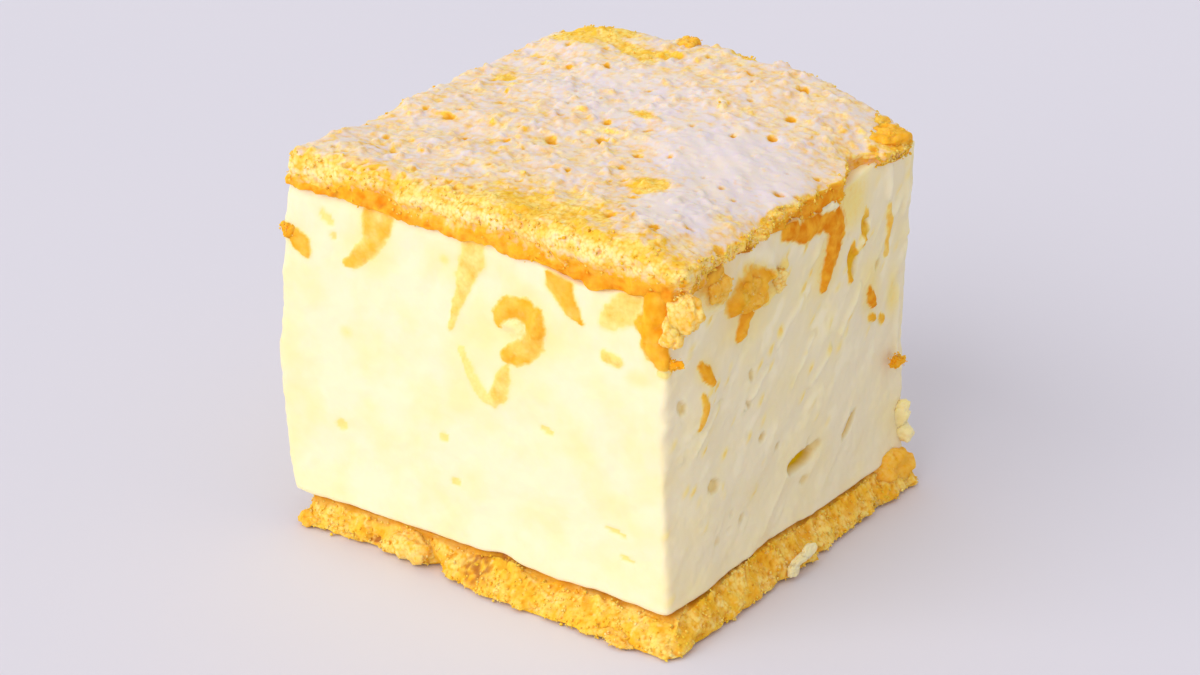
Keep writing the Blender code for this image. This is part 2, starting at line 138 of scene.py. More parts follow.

# Crumb smeared over the cream, in millimetres: face, thickness, tone from 0 for pale to 1 for soaked, and a
# path of (across, up, width). A ridge of plain cream has no tone, and is lightened as a painted highlight.
SMEARS = (
    ("front", 0.6, 0.4, ((-36.6, 50.2, 1.8), (-35.2, 49.4, 3.4), (-33.8, 48.3, 4.0), (-32.8, 47.2, 2.6))),
    ("front", 0.25, 0.2, ((-17.8, 58.6, 7.4), (-18.4, 55.4, 7.0), (-19.6, 52.4, 4.8), (-21.4, 49.6, 3.2),
                         (-23.0, 47.9, 3.4), (-25.0, 47.1, 1.8))),
    ("front", 0.25, 0.1, ((-1.0, 58.0, 5.0), (-1.4, 54.0, 5.4), (-2.4, 50.6, 4.0), (-4.0, 46.0, 2.2),
                          (-5.4, 41.5, 1.2))),
    ("front", 0.4, 0.27, ((10.2, 45.8, 4.0), (9.9, 43.4, 4.2), (8.4, 41.4, 4.4), (6.6, 40.2, 4.0),
                          (4.8, 39.6, 2.4))),
    ("front", 0.45, 0.38, ((3.6, 44.6, 2.2), (4.2, 46.6, 3.8), (6.8, 47.8, 4.4), (9.4, 47.2, 4.6),
                          (10.4, 45.0, 3.6))),
    ("front", 0.2, 0.15, ((4.8, 37.4, 1.8), (4.0, 35.2, 3.6), (3.4, 33.0, 3.4), (2.6, 31.6, 1.4))),
    ("front", 0.15, 0.0, ((-3.4, 38.4, 1.4), (-1.8, 35.0, 2.2), (0.4, 32.0, 2.6), (2.6, 31.2, 1.6))),
    ("front", 0.35, 0.35, ((13.6, 57.4, 4.6), (14.6, 53.8, 5.4), (16.0, 51.0, 3.8), (17.2, 49.2, 2.0),
                           (18.6, 48.2, 0.9))),
    ("front", 0.2, 0.05, ((28.0, 54.0, 3.0), (26.0, 52.4, 6.0), (23.0, 49.8, 3.6))),
    ("front", 0.3, 0.1, ((22.4, 44.2, 2.0), (24.8, 43.8, 2.2))),
    ("front", 1.4, 0.5, ((31.4, 58.0, 6.0), (31.2, 54.0, 5.6), (30.2, 50.6, 4.8), (31.0, 47.4, 4.6),
                          (33.0, 45.7, 3.6), (36.4, 45.6, 2.2), (38.4, 46.2, 1.6))),
    ("front", 0.3, 0.0, ((32.0, 43.8, 1.4), (34.6, 43.6, 1.8))),
    ("side", 1.6, 0.3, ((-27.0, 58.0, 4.4), (-24.8, 55.2, 6.0), (-22.2, 52.6, 4.0))),
    ("side", 1.8, 0.45, ((-18.8, 49.8, 3.8), (-15.6, 51.0, 6.4), (-11.8, 51.8, 5.0), (-9.8, 51.6, 2.4))),
    ("side", 0.8, 0.8, ((-12.8, 49.4, 4.0), (-14.6, 46.6, 4.0), (-17.0, 44.0, 1.8))),
    ("side", 0.9, 0.0, ((-9.6, 47.0, 1.8), (-7.4, 49.4, 4.0), (-4.8, 51.2, 2.6))),
    ("side", 0.8, 1.0, ((-12.0, 58.4, 3.0), (-4.0, 57.8, 5.6), (4.0, 58.2, 6.0), (12.0, 59.4, 6.0))),
    ("side", 0.6, 0.9, ((-5.0, 55.4, 2.4), (1.0, 53.6, 2.6), (7.0, 54.6, 4.0), (10.4, 52.0, 5.0),
                        (9.4, 47.8, 4.4), (7.0, 43.6, 2.6))),
    ("side", 0.3, 0.4, ((15.2, 47.4, 1.6), (15.0, 44.6, 2.6), (14.6, 42.0, 1.6))),
    ("side", 0.3, 0.3, ((18.6, 51.8, 1.2), (18.4, 49.0, 2.0), (18.0, 46.6, 1.2))),
    ("side", 0.7, 0.6, ((-26.4, 43.0, 1.4), (-25.0, 41.2, 2.6), (-23.8, 39.6, 1.4))),
    ("side", 0.4, 0.3, ((-26.0, 38.0, 1.0), (-25.0, 35.6, 2.0), (-26.4, 32.8, 1.2))),
    ("side", 0.7, 0.9, ((21.0, 37.8, 1.4), (22.4, 36.0, 2.4), (23.4, 34.4, 1.4))),
    ("side", 0.5, 0.3, ((22.6, 32.4, 1.6), (23.8, 32.0, 1.8))),
    ("side", 0.5, 0.3, ((26.6, 31.0, 1.4), (27.4, 30.2, 1.8))),
    ("side", 0.3, 0.2, ((26.0, 50.0, 1.6), (26.6, 46.0, 2.2), (26.2, 42.0, 1.4))),
    ("side", 0.8, None, ((-31.0, 53.6, 2.6), (-27.0, 52.2, 3.6), (-22.4, 50.8, 1.8))),
    ("side", 0.4, None, ((-16.6, 44.6, 1.0), (-15.6, 43.4, 1.8), (-14.4, 43.2, 0.8))),
    ("side", 0.6, None, ((-14.6, 55.6, 2.4), (-11.0, 54.4, 4.0), (-8.8, 52.8, 3.8), (-8.0, 50.8, 1.8))),
    ("side", 0.9, None, ((1.6, 56.8, 1.6), (4.6, 56.0, 2.6), (8.2, 55.2, 1.4))),
    ("side", 0.45, None, ((-15.0, 31.0, 0.6), (-11.4, 34.4, 1.8), (-9.0, 36.0, 1.0))),
    ("side", 0.5, None, ((-6.0, 38.6, 1.2), (-3.0, 41.6, 2.4), (0.4, 44.0, 1.4))),
    ("side", 0.5, None, ((3.0, 28.6, 0.8), (7.0, 31.0, 1.8), (9.0, 32.6, 0.8))),
    ("side", 0.5, None, ((12.0, 34.0, 1.4), (15.6, 37.4, 2.2), (17.6, 40.0, 1.0))),
    ("side", 0.4, None, ((-27.0, 29.0, 0.8), (-24.0, 33.0, 1.6), (-22.0, 35.0, 0.8))),
    ("side", 0.4, None, ((-2.0, 30.4, 0.8), (1.0, 33.4, 1.8), (4.4, 36.6, 1.0))),
    ("side", 0.7, None, ((24.0, 59.0, 4.0), (25.0, 56.0, 3.4), (25.4, 52.0, 1.4))),
    ("side", 0.4, None, ((30.6, 57.0, 2.0), (31.6, 52.0, 2.4), (31.0, 47.0, 1.4))),
    ("side", 0.4, None, ((31.8, 34.0, 1.8), (32.4, 28.0, 2.4), (32.2, 20.0, 1.6))),
    ("front", 0.5, None, ((4.6, 44.4, 1.8), (6.6, 45.0, 3.2), (7.4, 43.4, 1.6))),
)

# Whole chunks of crumb stuck to the cream, in millimetres: centre, size and tilt in degrees, and tone
CREAM_CHUNKS = (
    ((-36.0, -33.4, 50.2), (2.2, 2.4, 1.9), 20, 0.4),
    ((35.1, -32.8, 53.9), (5.6, 3.2, 5.4), 12, 0.1),
    ((34.2, -33.5, 45.9), (3.4, 1.2, 1.3), 10, 0.5),
    ((35.3, -23.8, 54.4), (1.8, 4.4, 3.8), 0, 0.25),
    ((35.2, -14.6, 50.2), (1.9, 6.6, 4.6), 0, 0.35),
    ((34.9, -7.0, 49.6), (1.4, 2.8, 3.4), 0, 0.0),
    ((34.6, 30.0, 22.6), (1.2, 3.2, 1.6), 0, 0.55),
    ((34.2, -33.4, 51.2), (3.6, 2.4, 5.0), -16, 0.1),
)

# Scraps that hang on to the sheets, in the same way
BASE_SCRAPS = (
    ((-33.5, -33.0, 1.6), (4.6, 3.6, 2.6), 20, 0.3),
    ((-13.4, -33.8, 2.2), (8.0, 4.0, 4.2), 0, 0.15),
    ((27.0, -37.2, 1.0), (6.0, 2.4, 1.6), 0, 0.2),
    ((33.8, 29.8, 4.0), (5.6, 10.0, 5.2), 0, 0.3),
)
SHEET_SCRAPS = (
    ((32.6, 27.0, 60.7), (5.6, 6.4, 3.6), 0, 0.4),
    ((28.4, 29.4, 60.9), (5.6, 5.6, 2.8), 0, 0.3),
    ((-8.6, 34.6, 64.4), (4.4, 3.6, 3.6), 0, 0.3),
)

# Dabs of cream, in millimetres: centre, size and tilt in degrees
CREAM_DABS = (
    ((33.6, 32.6, 11.4), (3.0, 2.6, 6.0), -24),
    ((34.6, 33.2, 8.6), (2.6, 2.6, 3.0), -12),
    ((37.9, -1.4, 3.4), (1.6, 3.8, 2.2), 0),
    ((37.9, -3.6, 2.7), (1.5, 4.2, 1.5), 0),
    ((37.9, -5.6, 1.9), (1.4, 2.6, 1.8), 0),
)

# Bubbles and dents in the cream, in millimetres: face, place across and up, length, height, depth, and tilt
# in degrees
BUBBLES = (
    ("side", 1.8, 16.4, 7.6, 3.2, 1.6, 4),
    ("side", 5.6, 17.1, 4.0, 1.6, 0.5, 8),
    ("side", 16.0, 16.8, 5.4, 1.9, 1.0, 38),
    ("side", -22.4, 22.0, 2.8, 2.2, 0.6, -18),
    ("side", -14.8, 13.4, 1.5, 1.5, 0.4, 0),
    ("side", -21.5, 12.5, 1.5, 1.3, 0.3, 0),
    ("side", -9.7, 25.0, 1.5, 1.1, 0.6, 30),
    ("side", -5.0, 21.5, 1.3, 1.1, 0.6, 0),
    ("side", 3.0, 12.6, 2.2, 1.2, 0.4, 0),
    ("side", 15.0, 44.5, 2.4, 5.0, 0.6, 6),
    ("side", 18.4, 49.4, 1.8, 4.0, 0.5, 6),
    ("side", 23.4, 41.2, 1.6, 1.6, 0.6, 0),
    ("side", -13.2, 36.4, 1.2, 2.2, 0.5, 30),
    ("side", -13.6, 32.0, 1.0, 1.8, 0.4, 30),
    ("side", -30.0, 37.5, 1.6, 2.6, 0.5, 30),
    ("front", 12.0, 29.4, 2.8, 1.2, 0.2, -12),
    ("front", 24.2, 16.2, 4.4, 0.9, 0.2, -12),
    ("front", 26.3, 12.3, 2.8, 0.8, 0.18, -10),
    ("front", -27.0, 19.5, 2.5, 2.0, 0.12, 0),
    ("front", -7.0, 23.0, 2.0, 1.6, 0.1, 0),
    ("front", -5.0, 16.0, 2.0, 1.4, 0.1, 0),
    ("front", -28.6, 53.2, 3.4, 1.3, 0.15, -14),
    ("front", -27.4, 50.8, 1.2, 1.6, 0.1, 0),
)

# Faint yellow stains on the cream, in millimetres: face, place across and up, width, height, tilt in
# degrees, and strength
STAINS = (
    ("front", -1.0, 35.0, 1.4, 8.0, 8, 0.25),
    ("front", 28.0, 42.0, 5.0, 3.4, 0, 0.22),
    ("front", -6.5, 52.0, 2.4, 2.0, 0, 0.4),
    ("front", -28.6, 53.2, 3.4, 1.4, -14, 0.5),
    ("front", -27.0, 19.5, 2.8, 2.2, 0, 0.35),
    ("front", -25.5, 35.5, 3.4, 2.6, 0, 0.25),
    ("front", 8.0, 45.0, 14.0, 15.0, 0, 0.3),
    ("front", -1.0, 40.0, 12.0, 22.0, -14, 0.14),
    ("front", -20.0, 51.0, 11.0, 14.0, -14, 0.22),
    ("side", 14.0, 54.0, 14.0, 10.0, 0, 0.4),
    ("side", 8.0, 47.0, 10.0, 14.0, -12, 0.35),
    ("side", -24.0, 54.0, 12.0, 9.0, 0, 0.4),
    ("side", -14.0, 48.0, 14.0, 13.0, 20, 0.3),
    ("side", 22.0, 38.0, 8.0, 12.0, 10, 0.3),
    ("side", -25.0, 41.4, 5.0, 6.0, 40, 0.3),
    ("side", 30.0, 34.0, 5.0, 12.0, 10, 0.35),
)

# Where the sugar starts behind the front edge, in millimetres: across and along
BARE_FRONT = ((-36, -34), (-15, -33), (-8, -32), (2, -29), (12, -28), (20, -31), (30, -33), (37, -30))

# Places with more or less sugar on the top, in millimetres: across, along, width, depth, tilt in degrees,
# and amount
SUGAR_PATCHES = (
    (24.0, -1.0, 34.0, 24.0, -30, 0.5),
    (-5.0, 10.0, 34.0, 20.0, -10, 0.26),
    (25.0, -20.0, 13.0, 16.0, 10, 0.55),
    (8.0, -26.0, 34.0, 12.0, 0, -0.22),
    (17.0, -14.5, 7.0, 6.0, -30, -0.9),
    (2.0, 6.0, 7.0, 3.0, -20, -0.8),
    (2.5, 35.5, 8.0, 4.0, 0, -0.9),
    (-8.5, 28.0, 7.0, 4.0, 0, -0.8),
    (-27.0, 10.0, 5.0, 4.0, 0, -0.7),
    (10.0, 37.0, 8.0, 3.0, 0, -0.7),
    (-25.5, 34.0, 15.0, 18.0, 0, -1.0),
    (-14.0, 27.0, 14.0, 4.0, -30, -0.8),
    (37.0, -6.0, 5.0, 34.0, 0, -0.9),
    (35.0, 28.0, 8.0, 12.0, 0, -0.9),
)

# Deep pits in the top, in millimetres: across, along and width
DEEP_PITS = (
    (-23.5, -9.5, 1.8), (-17.0, -14.0, 1.5), (-5.0, -8.5, 2.4), (1.5, -4.5, 1.8), (-1.5, 1.0, 1.6),
    (9.0, -6.0, 1.6), (32.5, -3.5, 1.9), (22.0, 11.0, 1.7), (17.3, 7.5, 1.1), (20.5, 18.5, 1.9),
    (-14.0, 18.5, 1.7), (7.0, 28.0, 1.8), (17.0, 28.0, 1.9), (35.5, -24.0, 1.6), (18.5, -27.0, 1.8),
    (26.5, -27.5, 1.7),
)

# Height of the soaked band at the foot of the upper sheet's front, in millimetres: across and height
SOAKED_BAND = ((-36, 0.8), (-30, 1.0), (-25, 2.4), (-17, 3.2), (-12, 1.6), (-5, 1.3), (3, 1.8), (14, 2.2),
               (20, 3.4), (30, 2.8), (36, 2.2))

# Lower edge of the upper sheet's front, in millimetres: across and up
HEM = ((-36, 57.3), (-30, 57.0), (-25, 57.2), (-22, 56.6), (-14, 56.6), (-10, 56.2), (-4, 56.0),
       (2.8, 56.5), (6, 55.4), (15, 55.9), (16.6, 55.1), (20.5, 53.7), (24, 55.2), (29.4, 54.8),
       (33.5, 55.1), (36, 56.0))

# Brown patches on the front of the lower sheet, in millimetres: across, up, width, height
BASE_BROWN_PATCHES = ((-0.4, 3.2, 7.0, 4.6), (-24.5, 1.2, 2.4, 1.6), (-21.0, 1.4, 2.0, 1.4),
                      (4.0, 6.0, 4.0, 1.6))

# What the mesh tells the crumb's colour at each point
CRUMB_FIELDS = ("pale", "pore", "moist", "brown")

# Light of the room, and the broad lamp's direction and spread in degrees
ROOM_LIGHT = 0.74
LAMP_POWER = 1.9
LAMP_AZIMUTH = -106.0
LAMP_ELEVATION = 26.0
LAMP_SPREAD = 70.0

# View that the slice is shown in: lens and sensor in millimetres, angles in degrees
LENS = 100.0
SENSOR = 36.0
VIEW_AZIMUTH = 35.0
VIEW_ELEVATION = 24.5
VIEW_DISTANCE = 519.0 * MM
VIEW_AIM = (-0.81 * MM, -1.63 * MM, 29.09 * MM)

# Sockets of Blender's Mix node where it mixes colours
MIX_FACTOR = 0
MIX_A = 6
MIX_B = 7
MIX_RESULT = 2


def smooth(value, low, high):
    """0 below low, 1 above high, and an even S curve between them."""
    share = np.clip((value - low) / (high - low), 0.0, 1.0)
    return share * share * (3.0 - 2.0 * share)


def hump(value, centre, width):
    """1 at centre, falling to 0 at half of width on either side."""
    return 1.0 - smooth(np.abs(value - centre), 0.0, width / 2)


def gradient_noise(points, size, seed):
    """Smooth noise from about -1 to 1: random slopes at the corners of cells of that size, faded."""
    draw = np.random.default_rng(seed)
    order = draw.permutation(256)
    slopes = draw.normal(size=(256, 3))
    slopes /= np.linalg.norm(slopes, axis=1)[:, None]
    scaled = points / size + 64.0
    cell = np.floor(scaled).astype(int)
    within = scaled - cell
    fade = within**3 * (within * (within * 6.0 - 15.0) + 10.0)
    total = np.zeros(len(points))
    for corner in np.ndindex(2, 2, 2):
        step = np.array(corner)
        x, y, z = ((cell + step) & 255).T
        pick = order[(order[(order[x] + y) & 255] + z) & 255]
        share = np.where(step, fade, 1.0 - fade).prod(axis=1)
        total += share * ((within - step) * slopes[pick]).sum(axis=1)
    return 1.5 * total


def cell_noise(points, size, seed):
    """Distance, in cells, from each point to the nearest of one random spot in every cell, and its draw."""
    draw = np.random.default_rng(seed)
    order = draw.permutation(256)
    spots = draw.random((256, 3))
    values = draw.random(256)
    scaled = points / size + 64.0
    cell = np.floor(scaled).astype(int)
    nearest = np.full(len(points), 9.0)
    value = np.zeros(len(points))
    for corner in np.ndindex(3, 3, 3):
        other = cell + np.array(corner) - 1
        x, y, z = (other & 255).T
        pick = order[(order[(order[x] + y) & 255] + z) & 255]
        gap = np.linalg.norm(other + spots[pick] - scaled, axis=1)
        closer = gap < nearest
        nearest = np.where(closer, gap, nearest)
        value = np.where(closer, values[pick], value)
    return nearest, value


def clouds(points, size, seed, low, high):
    """Smooth noise of that size drawn as patches: 0 where it is below low and 1 where it is above high."""
    return smooth(gradient_noise(points, size, seed), low, high)


def added_noise(points, rows):
    """Noise of several sizes added up, where each row gives its strength, its size and its seed."""
    return sum(strength * gradient_noise(points, size, seed) for strength, size, seed in rows)


def shaken(points, reach, size, seed):
    """The points moved about by noise of that size, by about that reach, with a seed for each axis."""
    shifts = [gradient_noise(points, size, seed + axis) for axis in range(3)]
    return points + reach * np.stack(shifts, axis=1)


def read_off(x, table):
    """What a table of (place, value) in millimetres gives at each X: straight lines between its rows."""
    places, values = np.array(table).T * MM
    return np.interp(x, places, values)


def flat_points(x, y):
    """Points with those X and Y at height 0, for noise that doesn't change with height."""
    return np.stack([x, y, np.zeros_like(x)], axis=1)


def rim_share(x, y):
    """1 at the rim of the slice, falling to 0 where the middle of a layer is flat."""
    inward = np.minimum(HALF_X - np.abs(x), HALF_Y - np.abs(y))
    return 1.0 - smooth(inward, 1.0 * MM, RIM_WIDTH)


def base_line(x, y):
    """Height of the face where the lower sheet meets the cream: level inside, uneven at the rim."""
    front = smooth(-y, 0.6 * HALF_Y, HALF_Y)
    side = smooth(x, 0.6 * HALF_X, HALF_X)
    wave = 0.35 * MM * gradient_noise(flat_points(x, y), 9 * MM, 12)
    front_rise = front * (0.5 * MM * smooth(-x, -8 * MM, 6 * MM) + 0.8 * MM * hump(x, 4 * MM, 9 * MM))
    side_rise = 1.0 * MM * side * hump(y, -8 * MM, 46 * MM)
    return BASE_TOP + rim_share(x, y) * (wave + front_rise + side_rise)


def layer_line(x, y):
    """Height of the face where the cream meets the upper sheet: waving at the rim, flat inside it."""
    front = smooth(-y, 0.6 * HALF_Y, HALF_Y)
    side = smooth(x, 0.6 * HALF_X, HALF_X)
    wave = 0.5 * MM * gradient_noise(flat_points(x, y), 13 * MM, 11)
    sag = -EDGE_SAG * front * hump(x, 20 * MM, 48 * MM)
    lift = side * (1.3 * MM * hump(y, -14 * MM, 36 * MM) + BARED_CREAM_RISE * smooth(y, 8 * MM, 22 * MM))
    return CREAM_TOP + rim_share(x, y) * (wave + sag + lift)


def rolled_box(points, low, high, radius, lip_low, lip_high):
    """A box with rolled edges: each point near an edge is pushed onto an ellipsoid inside that edge."""
    lip = np.where(points[:, 2] < (low[2] + high[2]) / 2, lip_low, lip_high)
    reach = np.stack([np.full(len(points), radius), np.full(len(points), radius), lip], axis=1)
    core = np.clip(points, low + reach, high - reach)
    out = (points - core) / reach
    out /= np.maximum(np.linalg.norm(out, axis=1), 1e-9)[:, None]
    rolled = core + reach * out
    normal = out / reach
    normal /= np.maximum(np.linalg.norm(normal, axis=1), 1e-9)[:, None]
    return rolled, normal


def crags(points):
    """Relief of torn sponge: large lumps with smaller crumbs on them."""
    lumps = gradient_noise(points, CRAG_SIZE, 21)
    crumbs = gradient_noise(points, CRUMB_SIZE, 22)
    return CRAG_HEIGHT * lumps + CRUMB_HEIGHT * crumbs


def shape_base(points):
    """The lower sheet: flat above and below, flared and ragged where the knife pressed it down."""
    low = np.array([-HALF_X, -HALF_Y, 0.0])
    high = np.array([HALF_X, HALF_Y, BASE_TOP - LAYER_GAP])
    rolled, normal = rolled_box(low + (high - low) * points, low, high, 2.2 * MM, 1.0 * MM, 1.6 * MM)
    x, y, z = rolled.T
    side = np.hypot(normal[:, 0], normal[:, 1])
    foot = 1.0 - smooth(z, 0.0, BASE_TOP)
    front = smooth(-y, 0.8 * HALF_Y, HALF_Y)
    pressed_out = 0.25 + 0.75 * smooth(x, -12 * MM, 6 * MM)
    rolled[:, 0] += BASE_FLARE * (0.35 + 0.65 * foot) * smooth(x, 0.8 * HALF_X, HALF_X)
    rolled[:, 1] -= FRONT_FLARE * (0.1 + 0.9 * foot) * pressed_out * front
    rolled[:, 1] += BAY_DEPTH * hump(x, -8.5 * MM, 6.0 * MM) * front * foot
    rolled[:, 2] += smooth(z, 0.4 * BASE_TOP, 0.9 * BASE_TOP) * (base_line(x, y) - BASE_TOP)
    return rolled + normal * (side * crags(points * (high - low)))[:, None]


def knife_marks(across, up):
    """Shallow ridges that the knife dragged slantwise up a cut face, broken up along their length."""
    along = (across + up) / math.sqrt(2)
    beside = (across - up) / math.sqrt(2)
    stretched = np.stack([beside, along / 7.0, np.zeros_like(along)], axis=1)
    return KNIFE_MARK_HEIGHT * gradient_noise(stretched, KNIFE_MARK_SPACING, 31)


def shape_cream(points):
    """The cream block: swollen on the left, dragged in at the front corner, knife-marked on the side."""
    low = np.array([-HALF_X - LEFT_OVERLAP, -HALF_Y, BASE_TOP])
    high = np.array([HALF_X - CREAM_INSET, HALF_Y, CREAM_TOP])
    rolled, normal = rolled_box(low + (high - low) * points, low, high, 1.1 * MM, 0.4 * MM, 0.4 * MM)
    x, y, z = rolled.T
    side = np.hypot(normal[:, 0], normal[:, 1])
    up = (z - BASE_TOP) / (CREAM_TOP - BASE_TOP)
    right = smooth(x, 0.5 * HALF_X, HALF_X)
    left = smooth(-x, 0.5 * HALF_X, HALF_X)
    back = smooth(y, 0.4 * HALF_Y, HALF_Y)
    front = smooth(-y, 0.7 * HALF_Y, HALF_Y)
    swell = np.sin(math.pi * np.clip(up, 0, 1) ** 0.65)
    middle = np.sin(math.pi * np.clip(up, 0, 1))
    waves = CREAM_WAVE_HEIGHT * gradient_noise(rolled, CREAM_WAVE_SIZE, 32)
    marks = knife_marks(y, z) * np.clip(normal[:, 0], 0, 1)
    moved = rolled + normal * (side * (waves * (0.3 + 0.7 * middle) + marks))[:, None]
    moved[:, 0] -= CREAM_SWELL * swell * left
    moved[:, 0] -= CORNER_DRAG * right * front * (0.4 + 0.6 * middle)
    moved[:, 0] -= BACK_CORNER_LOSS * right * back * middle
    moved[:, 1] += 0.5 * BACK_OVERHANG * middle * smooth(y, 0.6 * HALF_Y, HALF_Y)
    moved[:, 2] += smooth(up, 0.9, 1.0) * (layer_line(x, y) - CREAM_TOP)
    moved[:, 2] += smooth(-up, -0.1, 0.0) * (base_line(x, y) - BASE_TOP)
    return moved


def sheet_relief(x, y):
    """Height of the upper sheet's top over its plain level: a crown at the back, low edges and ripples."""
    sideways = np.abs(x + 2 * MM)
    crown = CROWN * smooth(y, -0.7 * HALF_Y, HALF_Y) * (1.0 - smooth(sideways, 0.3 * HALF_X, HALF_X))
    droop = EDGE_DROOP * smooth(x, 0.68 * HALF_X, 1.05 * HALF_X)
    flat = flat_points(x, y)
    ripples = 0.9 * MM * gradient_noise(flat * [1.0, 1.6, 1.0], 17 * MM, 41)
    bumps = 0.35 * MM * gradient_noise(flat, 5 * MM, 42)
    torn_flake = FLAKE_LIFT * hump(x, -26 * MM, 16 * MM) ** 0.5 * smooth(y, 20 * MM, 25 * MM)
    return crown - droop + ripples + bumps + torn_flake


def shape_sheet(points):
    """The upper sheet: overhanging at front and back, crowned, notched near its back right corner."""
    low = np.array([-HALF_X - 0.5 * MM, -HALF_Y, CREAM_TOP + LAYER_GAP])
    high = np.array([HALF_X, HALF_Y, SLICE_TOP])
    rolled, normal = rolled_box(low + (high - low) * points, low, high, 3.0 * MM, 0.9 * MM, 2.4 * MM)
    x, y, z = rolled.T
    side = np.hypot(normal[:, 0], normal[:, 1])
    up = (z - low[2]) / (high[2] - low[2])
    rolled = rolled + normal * (side * crags(points * (high - low) + 0.05))[:, None]
    edge_x = smooth(x, 0.7 * HALF_X, HALF_X)
    edge_front = smooth(-y, 0.8 * HALF_Y, HALF_Y)
    rolled[:, 0] += SHEET_OVERHANG * edge_x
    rolled[:, 0] -= NOTCH_DEPTH * edge_x * hump(y, 17 * MM, 15 * MM)
    rolled[:, 0] -= SHEET_CORNER_LOSS * edge_x * smooth(y, 0.75 * HALF_Y, HALF_Y)
    rolled[:, 0] -= SHEET_CORNER_TIP * smooth(-x, 0.7 * HALF_X, HALF_X) * hump(y, -HALF_Y, 30 * MM)
    rolled[:, 1] -= SHEET_OVERHANG * edge_front * smooth(x, -0.5 * HALF_X, 0.8 * HALF_X)
    foot = 1.0 - smooth(up, 0.2, 0.6)
    rolled[:, 0] -= SIDE_UNDERCUT * edge_x * foot * hump(y, -20 * MM, 44 * MM)
    rolled[:, 1] += FRONT_UNDERCUT * edge_front * foot
    arch = 1.0 - smooth(np.abs(x + 4 * MM), 0.3 * HALF_X, HALF_X)
    rolled[:, 1] += BACK_OVERHANG * smooth(y, 0.6 * HALF_Y, HALF_Y) * (0.1 + 0.9 * arch)
    rolled[:, 2] += (1.0 - up) * (layer_line(rolled[:, 0], y) - CREAM_TOP) + up * sheet_relief(x, y)
    return rolled


def ring_quads(first, rows, count):
    """Quads between rows of points from a first one on, where each row is a closed ring of that count."""
    around = np.arange(count)
    following = (around + 1) % count
    lower = first + np.arange(rows - 1)[:, None] * count
    corners = [lower + around, lower + following, lower + count + following, lower + count + around]
    return np.stack(corners, axis=-1).reshape(-1, 4)


def skin(squares, low_rings, high_rings):
    """Points, quads and triangles of a closed skin over the unit cube.

    Its side is a band round the outline. An end with no rings is a full grid, and one with rings is
    closed by outlines that shrink to one point, close together at the rim and wider apart inside.
    """
    columns, rows, steps = squares
    across = np.arange(columns) / columns
    along = np.arange(rows) / rows
    front = np.stack([across, np.zeros(columns)], axis=1)
    right = np.stack([np.ones(rows), along], axis=1)
    outline = np.concatenate([front, right, 1.0 - front, 1.0 - right])
    count = len(outline)
    around = np.arange(count)
    following = (around + 1) % count
    heights = np.repeat(np.arange(steps + 1) / steps, count)
    points = [np.concatenate([np.tile(outline, (steps + 1, 1)), heights[:, None]], axis=1)]
    quads = [ring_quads(0, steps + 1, count)]
    triangles = [np.zeros((0, 3), int)]
    total = (steps + 1) * count
    for end, rings in ((0.0, low_rings), (1.0, high_rings)):
        if rings:
            scales = 1.0 - (np.arange(rings) / rings) ** RING_CROWDING
            centred = (outline - 0.5)[None] * scales[:, None, None] + 0.5
            end_points = np.concatenate([centred.reshape(-1, 2), [[0.5, 0.5]]])
            found = ring_quads(total, rings, count)
            last = total + (rings - 1) * count
            tip = np.full(count, total + rings * count)
            fan = np.stack([last + around, last + following, tip], axis=1)
            triangles.append(fan if end else fan[:, ::-1])
        else:
            x, y = np.meshgrid(np.arange(columns + 1) / columns, np.arange(rows + 1) / rows, indexing="ij")
            end_points = np.stack([x.ravel(), y.ravel()], axis=1)
            near = total + (np.arange(columns)[:, None] * (rows + 1) + np.arange(rows)).ravel()
            found = np.stack([near, near + rows + 1, near + rows + 2, near + 1], axis=1)
        points.append(np.concatenate([end_points, np.full((len(end_points), 1), end)], axis=1))
        quads.append(found if end else found[:, ::-1])
        total += len(end_points)
    # Points that share a place become one, so the skin is closed
    together = np.concatenate(points)
    places = np.round(together * 1e5).astype(int)
    _, first, index = np.unique(places, axis=0, return_index=True, return_inverse=True)
    index = index.reshape(-1)
    return together[first], index[np.concatenate(quads)], index[np.concatenate(triangles)]


def vertex_normals(points, quads, triangles):
    """Outward direction at each point: the sum of the face normals round it, made one long."""
    total = np.zeros_like(points)
    across = np.cross(points[quads[:, 2]] - points[quads[:, 0]], points[quads[:, 3]] - points[quads[:, 1]])
    for corner in range(4):
        np.add.at(total, quads[:, corner], across)
    if len(triangles):
        turned = np.cross(points[triangles[:, 1]] - points[triangles[:, 0]],
                          points[triangles[:, 2]] - points[triangles[:, 0]])
        for corner in range(3):
            np.add.at(total, triangles[:, corner], turned)
    return total / np.maximum(np.linalg.norm(total, axis=1), 1e-12)[:, None]


